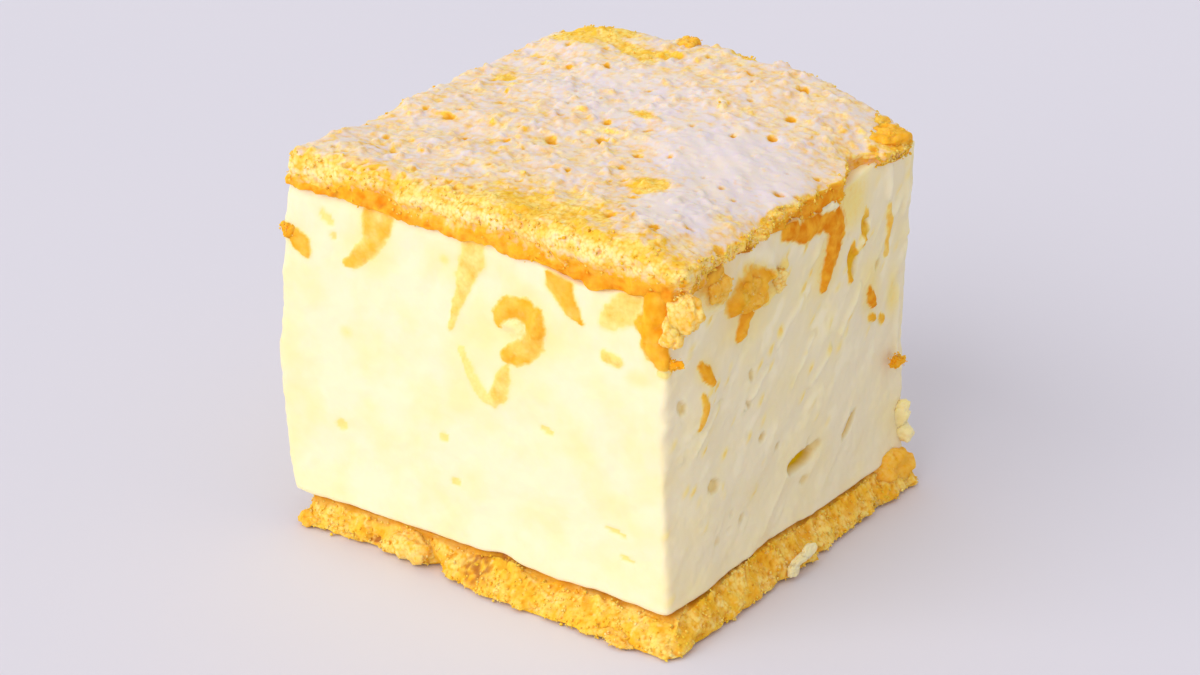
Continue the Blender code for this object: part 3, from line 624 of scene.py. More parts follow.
def mesh_piece(name, points, quads, triangles, material, fields, nodes):
    """An object of those points and faces, with one attribute for each field, that stands for CAD nodes."""
    mesh = bpy.data.meshes.new(name)
    corners = np.concatenate([quads.ravel(), triangles.ravel()]).astype(np.int32)
    sizes = np.concatenate([np.full(len(quads), 4), np.full(len(triangles), 3)]).astype(np.int32)
    mesh.vertices.add(len(points))
    mesh.vertices.foreach_set("co", np.ascontiguousarray(points, np.float32).ravel())
    mesh.loops.add(len(corners))
    mesh.loops.foreach_set("vertex_index", corners)
    mesh.polygons.add(len(sizes))
    mesh.polygons.foreach_set("loop_start", np.concatenate([[0], np.cumsum(sizes)[:-1]]).astype(np.int32))
    mesh.polygons.foreach_set("use_smooth", np.ones(len(sizes), bool))
    mesh.update(calc_edges=True)
    mesh.validate()
    for field, values in fields.items():
        attribute = mesh.attributes.new(field, "FLOAT", "POINT")
        attribute.data.foreach_set("value", np.ascontiguousarray(values, np.float32))
    mesh.materials.append(material)
    piece = bpy.data.objects.new(name, mesh)
    bpy.context.scene.collection.objects.link(piece)
    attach(piece, "root")
    if nodes:
        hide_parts(*nodes)
    return piece


def torn_crumb(points, seed, coarse):
    """Fine relief of torn sponge, and how deep in a pore each point is.

    Round grains stand up round the random spots of small cells, on larger clumps, and some larger cells
    hold a pore. Coarse crumb has all of them larger by that share.
    """
    moved = shaken(points, 0.4 * coarse * MM, 1.3 * coarse * MM, 50)
    grain, _ = cell_noise(moved, GRAIN_SPACING * coarse, 53 + seed)
    clump = gradient_noise(points, CLUMP_SIZE * coarse, 54 + seed)
    hole, drawn = cell_noise(moved, PORE_SPACING * coarse, 55 + seed)
    height = GRAIN_HEIGHT * (1.0 - smooth(grain, 0.0, 0.85)) + CLUMP_HEIGHT * clump
    pore = (1.0 - smooth(hole, 0.05, 0.36)) * (drawn < PORE_SHARE)
    return coarse * (height - PORE_DEPTH * pore), pore


def ellipse_share(across, up, centre, size, tilt, inner, outer):
    """1 inside a tilted ellipse, falling to 0 between the inner and the outer share of its radius.

    Its centre and size are in millimetres.
    """
    turn = math.radians(tilt)
    beside = across / MM - centre[0]
    above = up / MM - centre[1]
    right = beside * math.cos(turn) + above * math.sin(turn)
    rise = above * math.cos(turn) - beside * math.sin(turn)
    distance = np.hypot(right / (size[0] / 2), rise / (size[1] / 2))
    return 1.0 - smooth(distance, inner, outer)


def rounded_path(path):
    """The path with its corners cut off twice over, which leaves it smooth."""
    for _ in range(2):
        near = 0.75 * path[:-1] + 0.25 * path[1:]
        far = 0.25 * path[:-1] + 0.75 * path[1:]
        cut = np.stack([near, far], axis=1).reshape(-1, path.shape[1])
        path = np.concatenate([path[:1], cut, path[-1:]])
    return path


def path_share(across, up, path):
    """How far inside a smear each place is: 1 on its path, 0 at its edge, and below 0 outside it."""
    path = rounded_path(np.array(path) * MM)
    share = np.full(len(across), -9.0)
    for start, end in zip(path[:-1], path[1:]):
        step = end - start
        along = ((across - start[0]) * step[0] + (up - start[1]) * step[1]) / (step[0] ** 2 + step[1] ** 2)
        along = np.clip(along, 0.0, 1.0)
        gap = np.hypot(across - start[0] - along * step[0], up - start[1] - along * step[1])
        share = np.maximum(share, 1.0 - 2.0 * gap / (start[2] + along * step[2]))
    return share


def closed_tube(rows, around):
    """Quads and triangles of a tube of rings, closed by a fan to one more point at each end."""
    spot = np.arange(around)
    following = (spot + 1) % around
    first = np.full(around, rows * around)
    last = (rows - 1) * around
    triangles = np.concatenate([np.stack([following, spot, first], axis=1),
                                np.stack([last + spot, last + following, first + 1], axis=1)])
    return ring_quads(0, rows, around), triangles


def roughened(points, quads, triangles, seed, coarse):
    """The same surface with swells and torn crumb raised on it, as coarse as given, and its pores."""
    normals = vertex_normals(points, quads, triangles)
    relief, pore = torn_crumb(points, seed, coarse)
    swell = 0.5 * coarse * MM * gradient_noise(points, 2.0 * MM, seed)
    return points + normals * (relief + swell)[:, None], quads, triangles, pore


def lump(centre, size, tilt, seed, coarse):
    """A lump of crumb, or of cream where coarse is 0, with its centre and size in millimetres.

    It is an ellipsoid made a little boxy by a power of each coordinate, swollen by noise, turned about an
    axis along Y, and roughened where it is crumb.
    """
    steep = (np.arange(LUMP_RINGS) + 0.5) / LUMP_RINGS * math.pi
    turn = np.arange(LUMP_AROUND) / LUMP_AROUND * 2 * math.pi
    rings = np.stack([np.outer(np.sin(steep), np.cos(turn)), np.outer(np.sin(steep), np.sin(turn)),
                      np.outer(-np.cos(steep), np.ones(LUMP_AROUND))], axis=-1).reshape(-1, 3)
    rings = np.sign(rings) * np.abs(rings) ** LUMP_BOXINESS
    unit = 0.5 * np.concatenate([rings, [[0, 0, -1], [0, 0, 1]]])
    swell = 1.0 + 0.4 * gradient_noise(unit, 0.6, seed) + 0.18 * gradient_noise(unit, 0.25, seed + 1)
    local = unit * swell[:, None] * np.array(size) * MM
    lean = math.radians(tilt)
    points = np.stack([local[:, 0] * math.cos(lean) - local[:, 2] * math.sin(lean), local[:, 1],
                       local[:, 0] * math.sin(lean) + local[:, 2] * math.cos(lean)], axis=1)
    points += np.array(centre) * MM
    quads, triangles = closed_tube(LUMP_RINGS, LUMP_AROUND)
    if coarse:
        return roughened(points, quads, triangles, seed, coarse)
    return points, quads, triangles, np.zeros(len(points))


def joined(shells):
    """Several closed shells as one: their points, quads, triangles and pores."""
    counts = np.cumsum([0] + [len(shell[0]) for shell in shells[:-1]])
    points = np.concatenate([shell[0] for shell in shells])
    quads = np.concatenate([shell[1] + count for shell, count in zip(shells, counts)])
    triangles = np.concatenate([shell[2] + count for shell, count in zip(shells, counts)])
    pore = np.concatenate([shell[3] for shell in shells])
    return points, quads, triangles, pore


def grain_cloud(places, sizes, seed):
    """Angular grains of crumb: a twenty-sided solid at each place, stretched and turned at random."""
    draw = np.random.default_rng(seed)
    golden = (1 + math.sqrt(5)) / 2
    corners = np.array([[-1, golden, 0], [1, golden, 0], [-1, -golden, 0], [1, -golden, 0],
                        [0, -1, golden], [0, 1, golden], [0, -1, -golden], [0, 1, -golden],
                        [golden, 0, -1], [golden, 0, 1], [-golden, 0, -1], [-golden, 0, 1]]) / 3.8
    faces = np.array([[0, 11, 5], [0, 5, 1], [0, 1, 7], [0, 7, 10], [0, 10, 11], [1, 5, 9], [5, 11, 4],
                      [11, 10, 2], [10, 7, 6], [7, 1, 8], [3, 9, 4], [3, 4, 2], [3, 2, 6], [3, 6, 8],
                      [3, 8, 9], [4, 9, 5], [2, 4, 11], [6, 2, 10], [8, 6, 7], [9, 8, 1]])
    count = len(places)
    # A random turn for each grain, as the axes that a quaternion stands for
    turn = draw.normal(size=(count, 4))
    w, x, y, z = (turn / np.linalg.norm(turn, axis=1)[:, None]).T
    axes = np.stack([1 - 2 * (y * y + z * z), 2 * (x * y - w * z), 2 * (x * z + w * y),
                     2 * (x * y + w * z), 1 - 2 * (x * x + z * z), 2 * (y * z - w * x),
                     2 * (x * z - w * y), 2 * (y * z + w * x), 1 - 2 * (x * x + y * y)], axis=1)
    axes = axes.reshape(-1, 3, 3)
    stretched = corners * draw.uniform(0.6, 1.3, (count, 12, 1)) * draw.uniform(0.7, 1.3, (count, 1, 3))
    turned = np.einsum("nij,nkj->nki", axes, stretched) * sizes[:, None, None]
    points = (turned + places[:, None]).reshape(-1, 3)
    points[:, 2] = np.maximum(points[:, 2], FLOOR_GAP)
    triangles = (faces + 12 * np.arange(count)[:, None, None]).reshape(-1, 3)
    return points, np.zeros((0, 4), int), triangles


def linear(hex_colour):
    """A colour written as sRGB hex, as the linear values that shaders take."""
    values = [int(hex_colour[place:place + 2], 16) / 255 for place in (1, 3, 5)]
    lit = [value / 12.92 if value <= 0.04045 else ((value + 0.055) / 1.055) ** 2.4 for value in values]
    return (*lit, 1.0)


def wire(tree, node, links):
    """Links each of a node's inputs to a socket, or sets it to a value."""
    for socket, value in links.items():
        if isinstance(value, bpy.types.NodeSocket):
            tree.links.new(value, node.inputs[socket])
        else:
            node.inputs[socket].default_value = value


def add(tree, kind, settings, links, output):
    """Adds a shader node of that kind with its settings and links, and gives that output of it."""
    node = tree.nodes.new("ShaderNode" + kind)
    for name, value in settings.items():
        setattr(node, name, value)
    wire(tree, node, links)
    return node.outputs[output]


def new_material(name, read):
    """An empty material, its tree, Principled shader and object coordinates, and the fields it reads."""
    material = bpy.data.materials.new(name)
    material.use_nodes = True
    tree = material.node_tree
    place = add(tree, "TexCoord", {}, {}, "Object")
    fields = {field: add(tree, "Attribute", {"attribute_name": field}, {}, "Fac") for field in read}
    return material, tree, tree.nodes["Principled BSDF"], place, fields


def cloudy(tree, place, size, detail, low, high, most=1.0):
    """How much of a finish shows in cloudy patches: noise, drawn as 0 up to low and most from high on."""
    noise = add(tree, "TexNoise", {}, {"Vector": place, "Scale": 1 / size, "Detail": detail}, "Fac")
    limits = {"Value": noise, "From Min": low, "From Max": high, "To Max": most}
    return add(tree, "MapRange", {}, limits, "Result")


def layered(tree, first, layers):
    """A first colour with others laid over it in turn, each by its share.

    A colour is sRGB hex or a socket.
    """
    colour = linear(first) if isinstance(first, str) else first
    for share, over in layers:
        over = linear(over) if isinstance(over, str) else over
        inputs = {MIX_FACTOR: share, MIX_A: colour, MIX_B: over}
        colour = add(tree, "Mix", {"data_type": "RGBA"}, inputs, MIX_RESULT)
    return colour


def crumb_colour(tree, place, fields, grained):
    """Baked egg sponge: yellow grains, pale and orange blotches, orange where cream soaked in, and painted
    shade between its grains and in its pinholes, pores, pits and cracks.

    Grained is 1 for open crumb and less for crumb that is smeared thin. It gives the colour, and how far
    each place is from the middle of its grain.
    """
    grains = add(tree, "TexVoronoi", {}, {"Vector": place, "Scale": 1 / GRAIN_COLOUR_SPACING}, "Distance")
    grain_gap_shade = add(tree, "MapRange", {},
                {"Value": grains, "From Min": 0.42, "From Max": 0.95, "To Max": grained}, "Result")
    spots = add(tree, "TexVoronoi", {}, {"Vector": place, "Scale": 1 / SPECK_SPACING}, "Distance")
    dots = add(tree, "MapRange", {},
               {"Value": spots, "From Min": 0.3, "From Max": 0.14, "To Max": 0.4 * grained}, "Result")
    pinhole_shade = add(tree, "Math", {"operation": "MULTIPLY"},
                 {0: dots, 1: cloudy(tree, place, 3 * MM, 3.0, 0.45, 0.6)}, "Value")
    damp = add(tree, "MapRange", {}, {"Value": fields["moist"], "From Max": 0.45, "To Max": 0.65}, "Result")
    wet = layered(tree, "#E68610", [(cloudy(tree, place, 2 * MM, 4.0, 0.36, 0.64), "#F9B232")])
    colour = layered(tree, "#F8C640", [
        (cloudy(tree, place, 4 * MM, 3.0, 0.38, 0.62), "#FFDE7C"),
        (cloudy(tree, place, 2.4 * MM, 4.0, 0.54, 0.66, 0.55), "#F8B42E"),
        (cloudy(tree, place, 1.5 * MM, 2.0, 0.56, 0.7, 0.6), "#FFE9A2"),
        (fields["pale"], "#FFE79C"),
        # Painted shade in the gaps between the grains
        (grain_gap_shade, "#F2B42C"),
        # Dark specks: painted shade of pinholes
        (pinhole_shade, "#D8960F"),
        # Painted shade in pores, pits and cracks
        (fields["pore"], "#E0961A"),
        (damp, "#FCBC12"),
        (fields["moist"], wet),
        # Brown crust, and on the upper sheet's right side a painted shadow under its rim
        (fields["brown"], "#A8602C"),
    ])
    return colour, grains


def matt_crumb(tree, shader, colour, height):
    """Sets a dry surface of that colour, with grains of that height, that light enters a little."""
    bump = add(tree, "Bump", {}, {"Height": height, "Strength": 0.15, "Distance": 0.2 * MM}, "Normal")
    wire(tree, shader, {
        "Base Color": colour,
        "Normal": bump,
        "Roughness": 0.85,
        "Specular IOR Level": 0.06,
        "Subsurface Weight": 0.45,
        "Subsurface Radius": (1.0, 0.7, 0.2),
        "Subsurface Scale": 1.0 * MM,
    })


def torn_sponge_material():
    """Torn egg sponge: an open, dry crumb, matt and rough, that keeps light in its pores."""
    material, tree, shader, place, fields = new_material("torn_egg_sponge", CRUMB_FIELDS)
    colour, grains = crumb_colour(tree, place, fields, 1.0)
    raised = add(tree, "Math", {"operation": "SUBTRACT"}, {0: 1.0, 1: grains}, "Value")
    matt_crumb(tree, shader, colour, raised)
    return material


def dusted_sponge_material():
    """Sponge under sifted icing sugar: a matt, faintly lilac powder, thin enough for the sponge to show."""
    material, tree, shader, place, fields = new_material("icing_sugar_on_sponge", (*CRUMB_FIELDS, "sugar"))
    colour, grains = crumb_colour(tree, place, fields, 1.0)
    powder = add(tree, "TexNoise", {}, {"Vector": place, "Scale": 1 / (1.1 * MM), "Detail": 3.5}, "Fac")
    uneven = add(tree, "Math", {"operation": "MULTIPLY_ADD"}, {0: powder, 1: 1.3, 2: -0.65}, "Value")
    covered = add(tree, "Math", {"operation": "ADD"}, {0: fields["sugar"], 1: uneven}, "Value")
    dusted = add(tree, "MapRange", {}, {"Value": covered, "From Min": 0.1, "From Max": 0.9}, "Result")
    bare = add(tree, "MapRange", {}, {"Value": covered, "From Min": 0.9, "From Max": 0.1}, "Result")
    sugar = layered(tree, "#E5D8D9", [(cloudy(tree, place, 4 * MM, 3.0, 0.35, 0.7), "#EADACA")])
    raised = add(tree, "Math", {"operation": "SUBTRACT"}, {0: 1.0, 1: grains}, "Value")
    raised = add(tree, "Math", {"operation": "MULTIPLY"}, {0: raised, 1: bare}, "Value")
    matt_crumb(tree, shader, layered(tree, colour, [(dusted, sugar)]), raised)
    return material


def cream_material():
    """Whipped custard cream: smooth, dense and faintly see-through, with yellow stains of smeared crumb.

    Light enters it a little, which keeps it soft. Where crumb covers it, it is as matt as the crumb. On the
    side, highlights are painted on the knife's ridges and shade in the hollows between them, and shade is
    painted in the dents of bubbles.
    """
    read = (*CRUMB_FIELDS, "stain", "dent_shade", "streak_light_and_shade")
    material, tree, shader, place, fields = new_material("whipped_custard_cream", read)
    crumb, grains = crumb_colour(tree, place, fields, 0.3)
    ragged = add(tree, "TexNoise", {}, {"Vector": place, "Scale": 1 / (0.8 * MM), "Detail": 3.0}, "Fac")
    ragged = add(tree, "Math", {"operation": "MULTIPLY_ADD"}, {0: ragged, 1: 0.8, 2: -0.52}, "Value")
    stain = {0: fields["stain"], 1: 1.4, 2: ragged}
    thick = add(tree, "Math", {"operation": "MULTIPLY_ADD"}, stain, "Value")
    covered = add(tree, "MapRange", {}, {"Value": thick, "From Min": 0.25, "From Max": 0.85}, "Result")
    stained = add(tree, "MapRange", {}, {"Value": fields["stain"], "From Max": 0.45}, "Result")
    # Painted shade in the side's hollows and painted highlights on its knife ridges, from the streak field
    hollow_shade = add(tree, "MapRange", {}, {"Value": fields["streak_light_and_shade"], "From Max": -1.0}, "Result")
    ridges = add(tree, "MapRange", {}, {"Value": fields["streak_light_and_shade"]}, "Result")
    colour = layered(tree, "#F7EAC4", [
        (cloudy(tree, place, 8 * MM, 4.0, 0.42, 0.7), "#F8E7AE"),
        (hollow_shade, "#E6D8B2"),
        (ridges, "#FFF1CE"),
        (stained, "#FAE184"),
        (covered, crumb),
        # Painted shade in the dents of bubbles
        (fields["dent_shade"], "#E0B400"),
    ])
    whipped = add(tree, "TexNoise", {}, {"Vector": place, "Scale": 1 / (0.6 * MM), "Detail": 3.0}, "Fac")
    raised = add(tree, "Math", {"operation": "SUBTRACT"}, {0: 0.5, 1: grains}, "Value")
    raised = add(tree, "Math", {"operation": "MULTIPLY"}, {0: raised, 1: covered}, "Value")
    height = add(tree, "Math", {"operation": "MULTIPLY_ADD"}, {0: whipped, 1: 0.4, 2: raised}, "Value")
    bump = add(tree, "Bump", {}, {"Height": height, "Strength": 0.4, "Distance": 0.15 * MM}, "Normal")
    matt = add(tree, "Math", {"operation": "MAXIMUM"}, {0: covered, 1: fields["dent_shade"]}, "Value")
    shine = add(tree, "MapRange", {}, {"Value": matt, "To Min": 0.35, "To Max": 0.04}, "Result")
    wire(tree, shader, {
        "Base Color": colour,
        "Normal": bump,
        "Roughness": add(tree, "MapRange", {}, {"Value": covered, "To Min": 0.5, "To Max": 0.85}, "Result"),
        "Specular IOR Level": shine,
        "Subsurface Weight": 0.35,
        "Subsurface Radius": (1.0, 0.8, 0.4),
        "Subsurface Scale": 1.5 * MM,
    })
    return material


def studio_floor():
    """A wide flat sheet of pale matt card under the slice, as one grid of squares."""
    reach = 5.0
    squares = 8
    marks = np.linspace(-reach, reach, squares + 1)
    x, y = np.meshgrid(marks, marks, indexing="ij")
    points = np.stack([x.ravel(), y.ravel(), np.zeros(x.size)], axis=1)
    near = (np.arange(squares)[:, None] * (squares + 1) + np.arange(squares)).ravel()
    faces = np.stack([near, near + squares + 1, near + squares + 2, near + 1], axis=1)
    mesh = bpy.data.meshes.new("studio_floor")
    mesh.from_pydata(points.tolist(), [], faces.tolist())
    floor = bpy.data.objects.new("studio_floor", mesh)
    bpy.context.scene.collection.objects.link(floor)
    material, tree, shader, place, _ = new_material("pale_matt_card", ())
    clouding = add(tree, "TexNoise", {}, {"Vector": place, "Scale": 1 / (90 * MM), "Detail": 2.0}, "Fac")
    wire(tree, shader, {"Base Color": layered(tree, "#DDDBE6", [(clouding, "#DFDCE6")]), "Roughness": 0.7})
    mesh.materials.append(material)


def light_studio():
    """A pale room, and one broad soft lamp that stands low in front of the slice, a little to its left."""
    world = bpy.data.worlds.new("pale_studio")
    world.use_nodes = True
    background = world.node_tree.nodes["Background"]
    background.inputs["Color"].default_value = (0.98, 0.97, 1.0, 1.0)
    background.inputs["Strength"].default_value = ROOM_LIGHT
    bpy.context.scene.world = world
    data = bpy.data.lights.new("broad_lamp", "SUN")
    data.angle = math.radians(LAMP_SPREAD)
    data.energy = LAMP_POWER
    data.color = (1.0, 0.985, 0.95)
    lamp = bpy.data.objects.new("broad_lamp", data)
    turn = math.radians(LAMP_AZIMUTH)
    rise = math.radians(LAMP_ELEVATION)
    from_lamp = -Vector((math.cos(turn) * math.cos(rise), math.sin(turn) * math.cos(rise), math.sin(rise)))
    lamp.rotation_euler = from_lamp.to_track_quat("-Z", "Y").to_euler()
    bpy.context.scene.collection.objects.link(lamp)


def place_camera():
    """A long lens at the photograph's angle."""
    azimuth = math.radians(VIEW_AZIMUTH)
    elevation = math.radians(VIEW_ELEVATION)
    back = Vector((math.sin(azimuth) * math.cos(elevation), -math.cos(azimuth) * math.cos(elevation),
                   math.sin(elevation)))
    data = bpy.data.cameras.new("camera")
    data.lens = LENS
    data.sensor_width = SENSOR
    data.clip_start = 0.01
    camera = bpy.data.objects.new("camera", data)
    camera.location = Vector(VIEW_AIM) + VIEW_DISTANCE * back
    camera.rotation_euler = (-back).to_track_quat("-Z", "Y").to_euler()
    bpy.context.scene.collection.objects.link(camera)
    bpy.context.scene.camera = camera


def base_sponge(material):
    """The lower sheet's skin: its solid's form, with torn crumb raised on all that the cream leaves free.

    Clusters of crumb stand up round the spots of cells, cracks run between them, small holes sink in, and
    the foot is bitten away here and there. Pores, cracks and holes are darkened with painted shade. A thin
    brown line follows the cream.
    """
    share, quads, triangles = skin(BASE_SQUARES, 10, 12)
    points = shape_base(share)
    normals = vertex_normals(points, quads, triangles)
    x, y, z = points.T
    beyond = np.maximum(np.abs(x) - HALF_X + CREAM_INSET, np.abs(y) - HALF_Y)
    torn = smooth(beyond, -1.0 * MM, 0.4 * MM) * (1.0 - smooth(-normals[:, 2], 0.6, 0.9))
    rise = np.clip(z / BASE_TOP, 0.0, 1.0)

    gap, _ = cell_noise(shaken(points, 0.6 * MM, 2.0 * MM, 80), 1.7 * MM, 79)
    cluster = 1.0 - smooth(gap, 0.2, 0.85)
    crack = 0.6 * smooth(gap, 0.5, 0.8) * clouds(points, 3.0 * MM, 85, -0.2, 0.4)
    hole, drawn = cell_noise(shaken(points, 0.3 * MM, 2.0 * MM, 80), 1.1 * MM, 86)
    small = (1.0 - smooth(hole, 0.12, 0.4)) * (drawn < 0.55)
    tear = added_noise(points, BASE_TEARS)
    bitten = clouds(flat_points(x, y), 4.6 * MM, 75, 0.0, 0.5) * (1.0 - smooth(rise, 0.05, 0.5))
    relief, pore = torn_crumb(points, 0, 0.85)
    relief += 0.25 * MM * tear * (1.0 - smooth(rise, 0.8, 1.1)) + 0.3 * MM * cluster
    relief -= 0.25 * MM * small + 1.5 * MM * bitten + 1.0 * MM * smooth(rise, 0.45, 0.85)

    edge = beyond + 0.15 * MM * gradient_noise(points, 1.1 * MM, 71)
    brown = 0.4 * (1.0 - smooth(edge, -0.1 * MM, 0.3 * MM)) * smooth(rise, 0.6, 0.85)
    mottled = 0.85 * (y < 0) * clouds(points, 1.0 * MM, 72, -0.5, 0.3)
    for across, up, width, height in BASE_BROWN_PATCHES:
        patch = ellipse_share(x, z, (across, up), (width, height), 0, 0.6, 1.05)
        brown = np.maximum(brown, mottled * patch)

    lifted = smooth(beyond, 0.2 * MM, 0.9 * MM) * smooth(rise, 0.6, 0.9)
    points = points + normals * [1.0, 1.0, 0.2] * (relief * torn)[:, None]
    points[:, 2] += 0.7 * MM * (0.3 + cluster + 0.6 * tear - crack) * lifted
    points[:, 2] = np.maximum(points[:, 2], FLOOR_GAP)
    soaked = 0.03 + 0.28 * clouds(points, 4.0 * MM, 76, 0.0, 0.6)
    # Pores, cracks and small holes take the darker pore colour: painted shade
    deep = np.maximum(np.maximum(pore, crack), small) * torn
    fields = {"pore": deep, "moist": soaked * torn + 0.3 * (1 - torn), "brown": brown}
    mesh_piece("base_sponge_crumb", points, quads, triangles, material, fields, ["base_sponge"])
    return points, normals, torn * (1.0 - brown)


def sugar_cover(x, y):
    """How much icing sugar lies at each place of the top, from below 0 for bare sponge to above 1.

    It is an even dusting that fades at the front edge, more or less of it in marked patches, and noise.
    """
    flat = flat_points(x, y)
    inward = y - read_off(x, BARE_FRONT) + 1.6 * MM * gradient_noise(flat, 3.0 * MM, 61)
    cover = 0.62 - 0.55 * (1.0 - smooth(inward, -3 * MM, 6 * MM))
    for across, along, width, depth, tilt, amount in SUGAR_PATCHES:
        cover += amount * ellipse_share(x, y, (across, along), (width, depth), tilt, 0.5, 1.2)
    return cover + added_noise(flat, SUGAR_CLOUDS)


def sheet_pits(x, y):
    """How deep in a pit of the sugared top each place is: the marked pits and many small scattered ones."""
    moved = shaken(flat_points(x, y), 0.4 * MM, 1.2 * MM, 65)
    spot, drawn = cell_noise(moved, 2.1 * MM, 64)
    crowd = 0.18 + 0.2 * smooth(-y, -10 * MM, 30 * MM) + 0.1 * smooth(-x, 0.0, 30 * MM)
    pits = 0.6 * (1.0 - smooth(spot, 0.1, 0.34)) * (drawn < crowd)
    for across, along, width in DEEP_PITS:
        size = (1.5 * width, width)
        pit = ellipse_share(moved[:, 0], moved[:, 1], (across, along), size, -33, 0.3, 1.1)
        pits = np.maximum(pits, pit)
    return pits


def top_sponge(material):
    """The upper sheet's skin: its solid's form, with torn crumb on its sides and pitted sugar on its top.

    The foot of its front is moved to the measured hem and stands out from the cream, and the right rim is
    hollowed from below. How far up the soaked band reaches is read off a table at the front, and a hump
    along the right side. Shade is painted along the foot of the right side, under that rim.
    """
    share, quads, triangles = skin(SHEET_SQUARES, 12, 0)
    points = shape_sheet(share)
    normals = vertex_normals(points, quads, triangles)
    x, y, z = points.T
    flat = flat_points(x, y)
    top = smooth(normals[:, 2], 0.35, 0.8) * smooth(z, CREAM_TOP, SLICE_TOP)
    side = smooth(normals[:, 0], 0.3, 0.7)
    wall = (1.0 - top) * smooth(np.hypot(normals[:, 0], normals[:, 1]), 0.3, 0.7)

    # Sugar and pits on the top, with ripples where the sugar lies thick and bumps elsewhere
    pits = sheet_pits(x, y) * top
    sugar = sugar_cover(x, y) * top + 0.14 * (1 - top) - 1.2 * pits
    along = (0.84 * x - 0.55 * y) / 6.0
    beside = 0.55 * x + 0.84 * y
    ripple = gradient_noise(np.stack([along, beside, np.zeros_like(x)], axis=1), 2.6 * MM, 66)
    rippled = 0.35 + 0.65 * ellipse_share(x, y, (24, -1), (34, 26), -30, 0.5, 1.3)
    covered = smooth(sugar, 0.1, 0.7) * top
    bumps = clouds(flat, 1.9 * MM, 68, 0.05, 0.55) + 0.6 * clouds(flat, 1.1 * MM, 69, 0.0, 0.6)
    bumps *= 0.25 + 0.75 * clouds(flat, 6.0 * MM, 70, -0.5, 0.3)

    # How wet the wall is, from its foot up
    above = z - layer_line(x, y) - LAYER_GAP + 0.8 * MM * gradient_noise(points, 2.6 * MM, 67)
    band = read_off(x, SOAKED_BAND) * (1 - side) + MM * side * (0.4 + 5.0 * hump(y, 4 * MM, 36 * MM))
    moist = (1.0 - smooth(above, band - 1.1 * MM, band + 0.9 * MM)) * (1 - top)

    relief, pore = torn_crumb(points, 7, 1.0)
    torn = (1.0 - covered) * (0.35 + 0.65 * (1.0 - top))
    tatter = added_noise(points, WALL_TATTERS)
    height = 0.75 * relief * torn + 0.2 * MM * covered - 0.55 * MM * pits
    height += 0.6 * MM * tatter * wall * (1.0 - 0.6 * moist) * (0.6 + 0.8 * side)
    height += 0.3 * MM * ripple * rippled * top
    height += 0.5 * MM * bumps * (1.35 - rippled) * top
    points = points + normals * height[:, None]

    # The hem of the front, and the hollow under the right rim
    outer = (1.0 - smooth(share[:, 1], 0.0, 0.012)) * (1.0 - side)
    hem = read_off(x, HEM) + added_noise(flat, HEM_WAVER)
    drop = (hem - layer_line(x, y) - LAYER_GAP) * outer
    points[:, 2] += drop * (1.0 - smooth(above, 0.3 * MM, 3.0 * MM))
    standing_out = -HALF_Y - HEM_PROUD + added_noise(points, HEM_TATTERS)
    proud = np.minimum(points[:, 1], standing_out) - points[:, 1]
    points[:, 1] += proud * outer * (1.0 - smooth(above, 1.0 * MM, 3.4 * MM))
    hollow = hump(y, 1 * MM, 30 * MM) ** 0.5 * (1.0 - smooth(above, 2.6 * MM, 4.2 * MM))
    points[:, 0] -= RIM_RECESS * hollow * smooth(x, HALF_X - 4 * MM, HALF_X - 1 * MM)

    # Less sugar on slopes, pale crumb high on the wall, dark spots at its foot, and painted shadow along
    # the foot of the right side under its rim
    sugar -= 0.4 * moist * (1 - top)
    facing_up = vertex_normals(points, quads, triangles)[:, 2]
    sugar -= 0.6 * (1.0 - smooth(facing_up, 0.5, 0.9)) * top
    high = smooth(above, band + 0.2 * MM, band + 2.4 * MM)
    pale = 0.85 * clouds(points, 2.6 * MM, 87, -0.5, 0.3) * (1 - top) * high
    cloud = clouds(points, 1.5 * MM, 88, -0.4, 0.3)
    moist = np.maximum(moist * (0.65 + 0.35 * cloud), 0.55 * (1 - high) * (1 - top) * (1.0 - 0.7 * cloud))
    spotted = clouds(points, 1.7 * MM, 57, 0.1, 0.6) * smooth(-x, 8 * MM, 14 * MM)
    dark = 0.4 * moist * spotted * (1.0 - side)
    # Painted shadow along the foot of the right side, under the overhanging rim
    dark += 0.75 * side * hump(y, -20 * MM, 30 * MM) * (1.0 - smooth(above, 0.3 * MM, 1.6 * MM))
    # Pits lose their sugar and, like the pores, take the darker pore colour: painted shade
    pore = np.maximum(pore * torn, pits)
    fields = {"pore": pore, "moist": moist, "brown": dark, "sugar": sugar, "pale": pale}
    mesh_piece("top_sponge_sugared", points, quads, triangles, material, fields,
               ["top_sponge"])
    edge = 1.0 - smooth(np.minimum(HALF_X - np.abs(x), HALF_Y - np.abs(y)), 0.0, 3 * MM)
    bare = (1.0 - smooth(sugar, 0.1, 0.5)) * (1.0 - 0.9 * moist)
    return points, normals, bare * (0.1 + 0.9 * edge) * (1.0 + 2.0 * side)


def streaks(across, up, spacing, stretch, seed):
    """Ridges that the knife dragged slantwise up a cut face: bent noise, stretched along the stroke."""
    bend = 0.6 * MM * gradient_noise(flat_points(across, up), 5 * MM, seed + 1)
    along = (across + up) / math.sqrt(2)
    beside = (across - up) / math.sqrt(2) + bend
    return gradient_noise(np.stack([beside, along / stretch, np.zeros_like(along)], axis=1), spacing, seed)


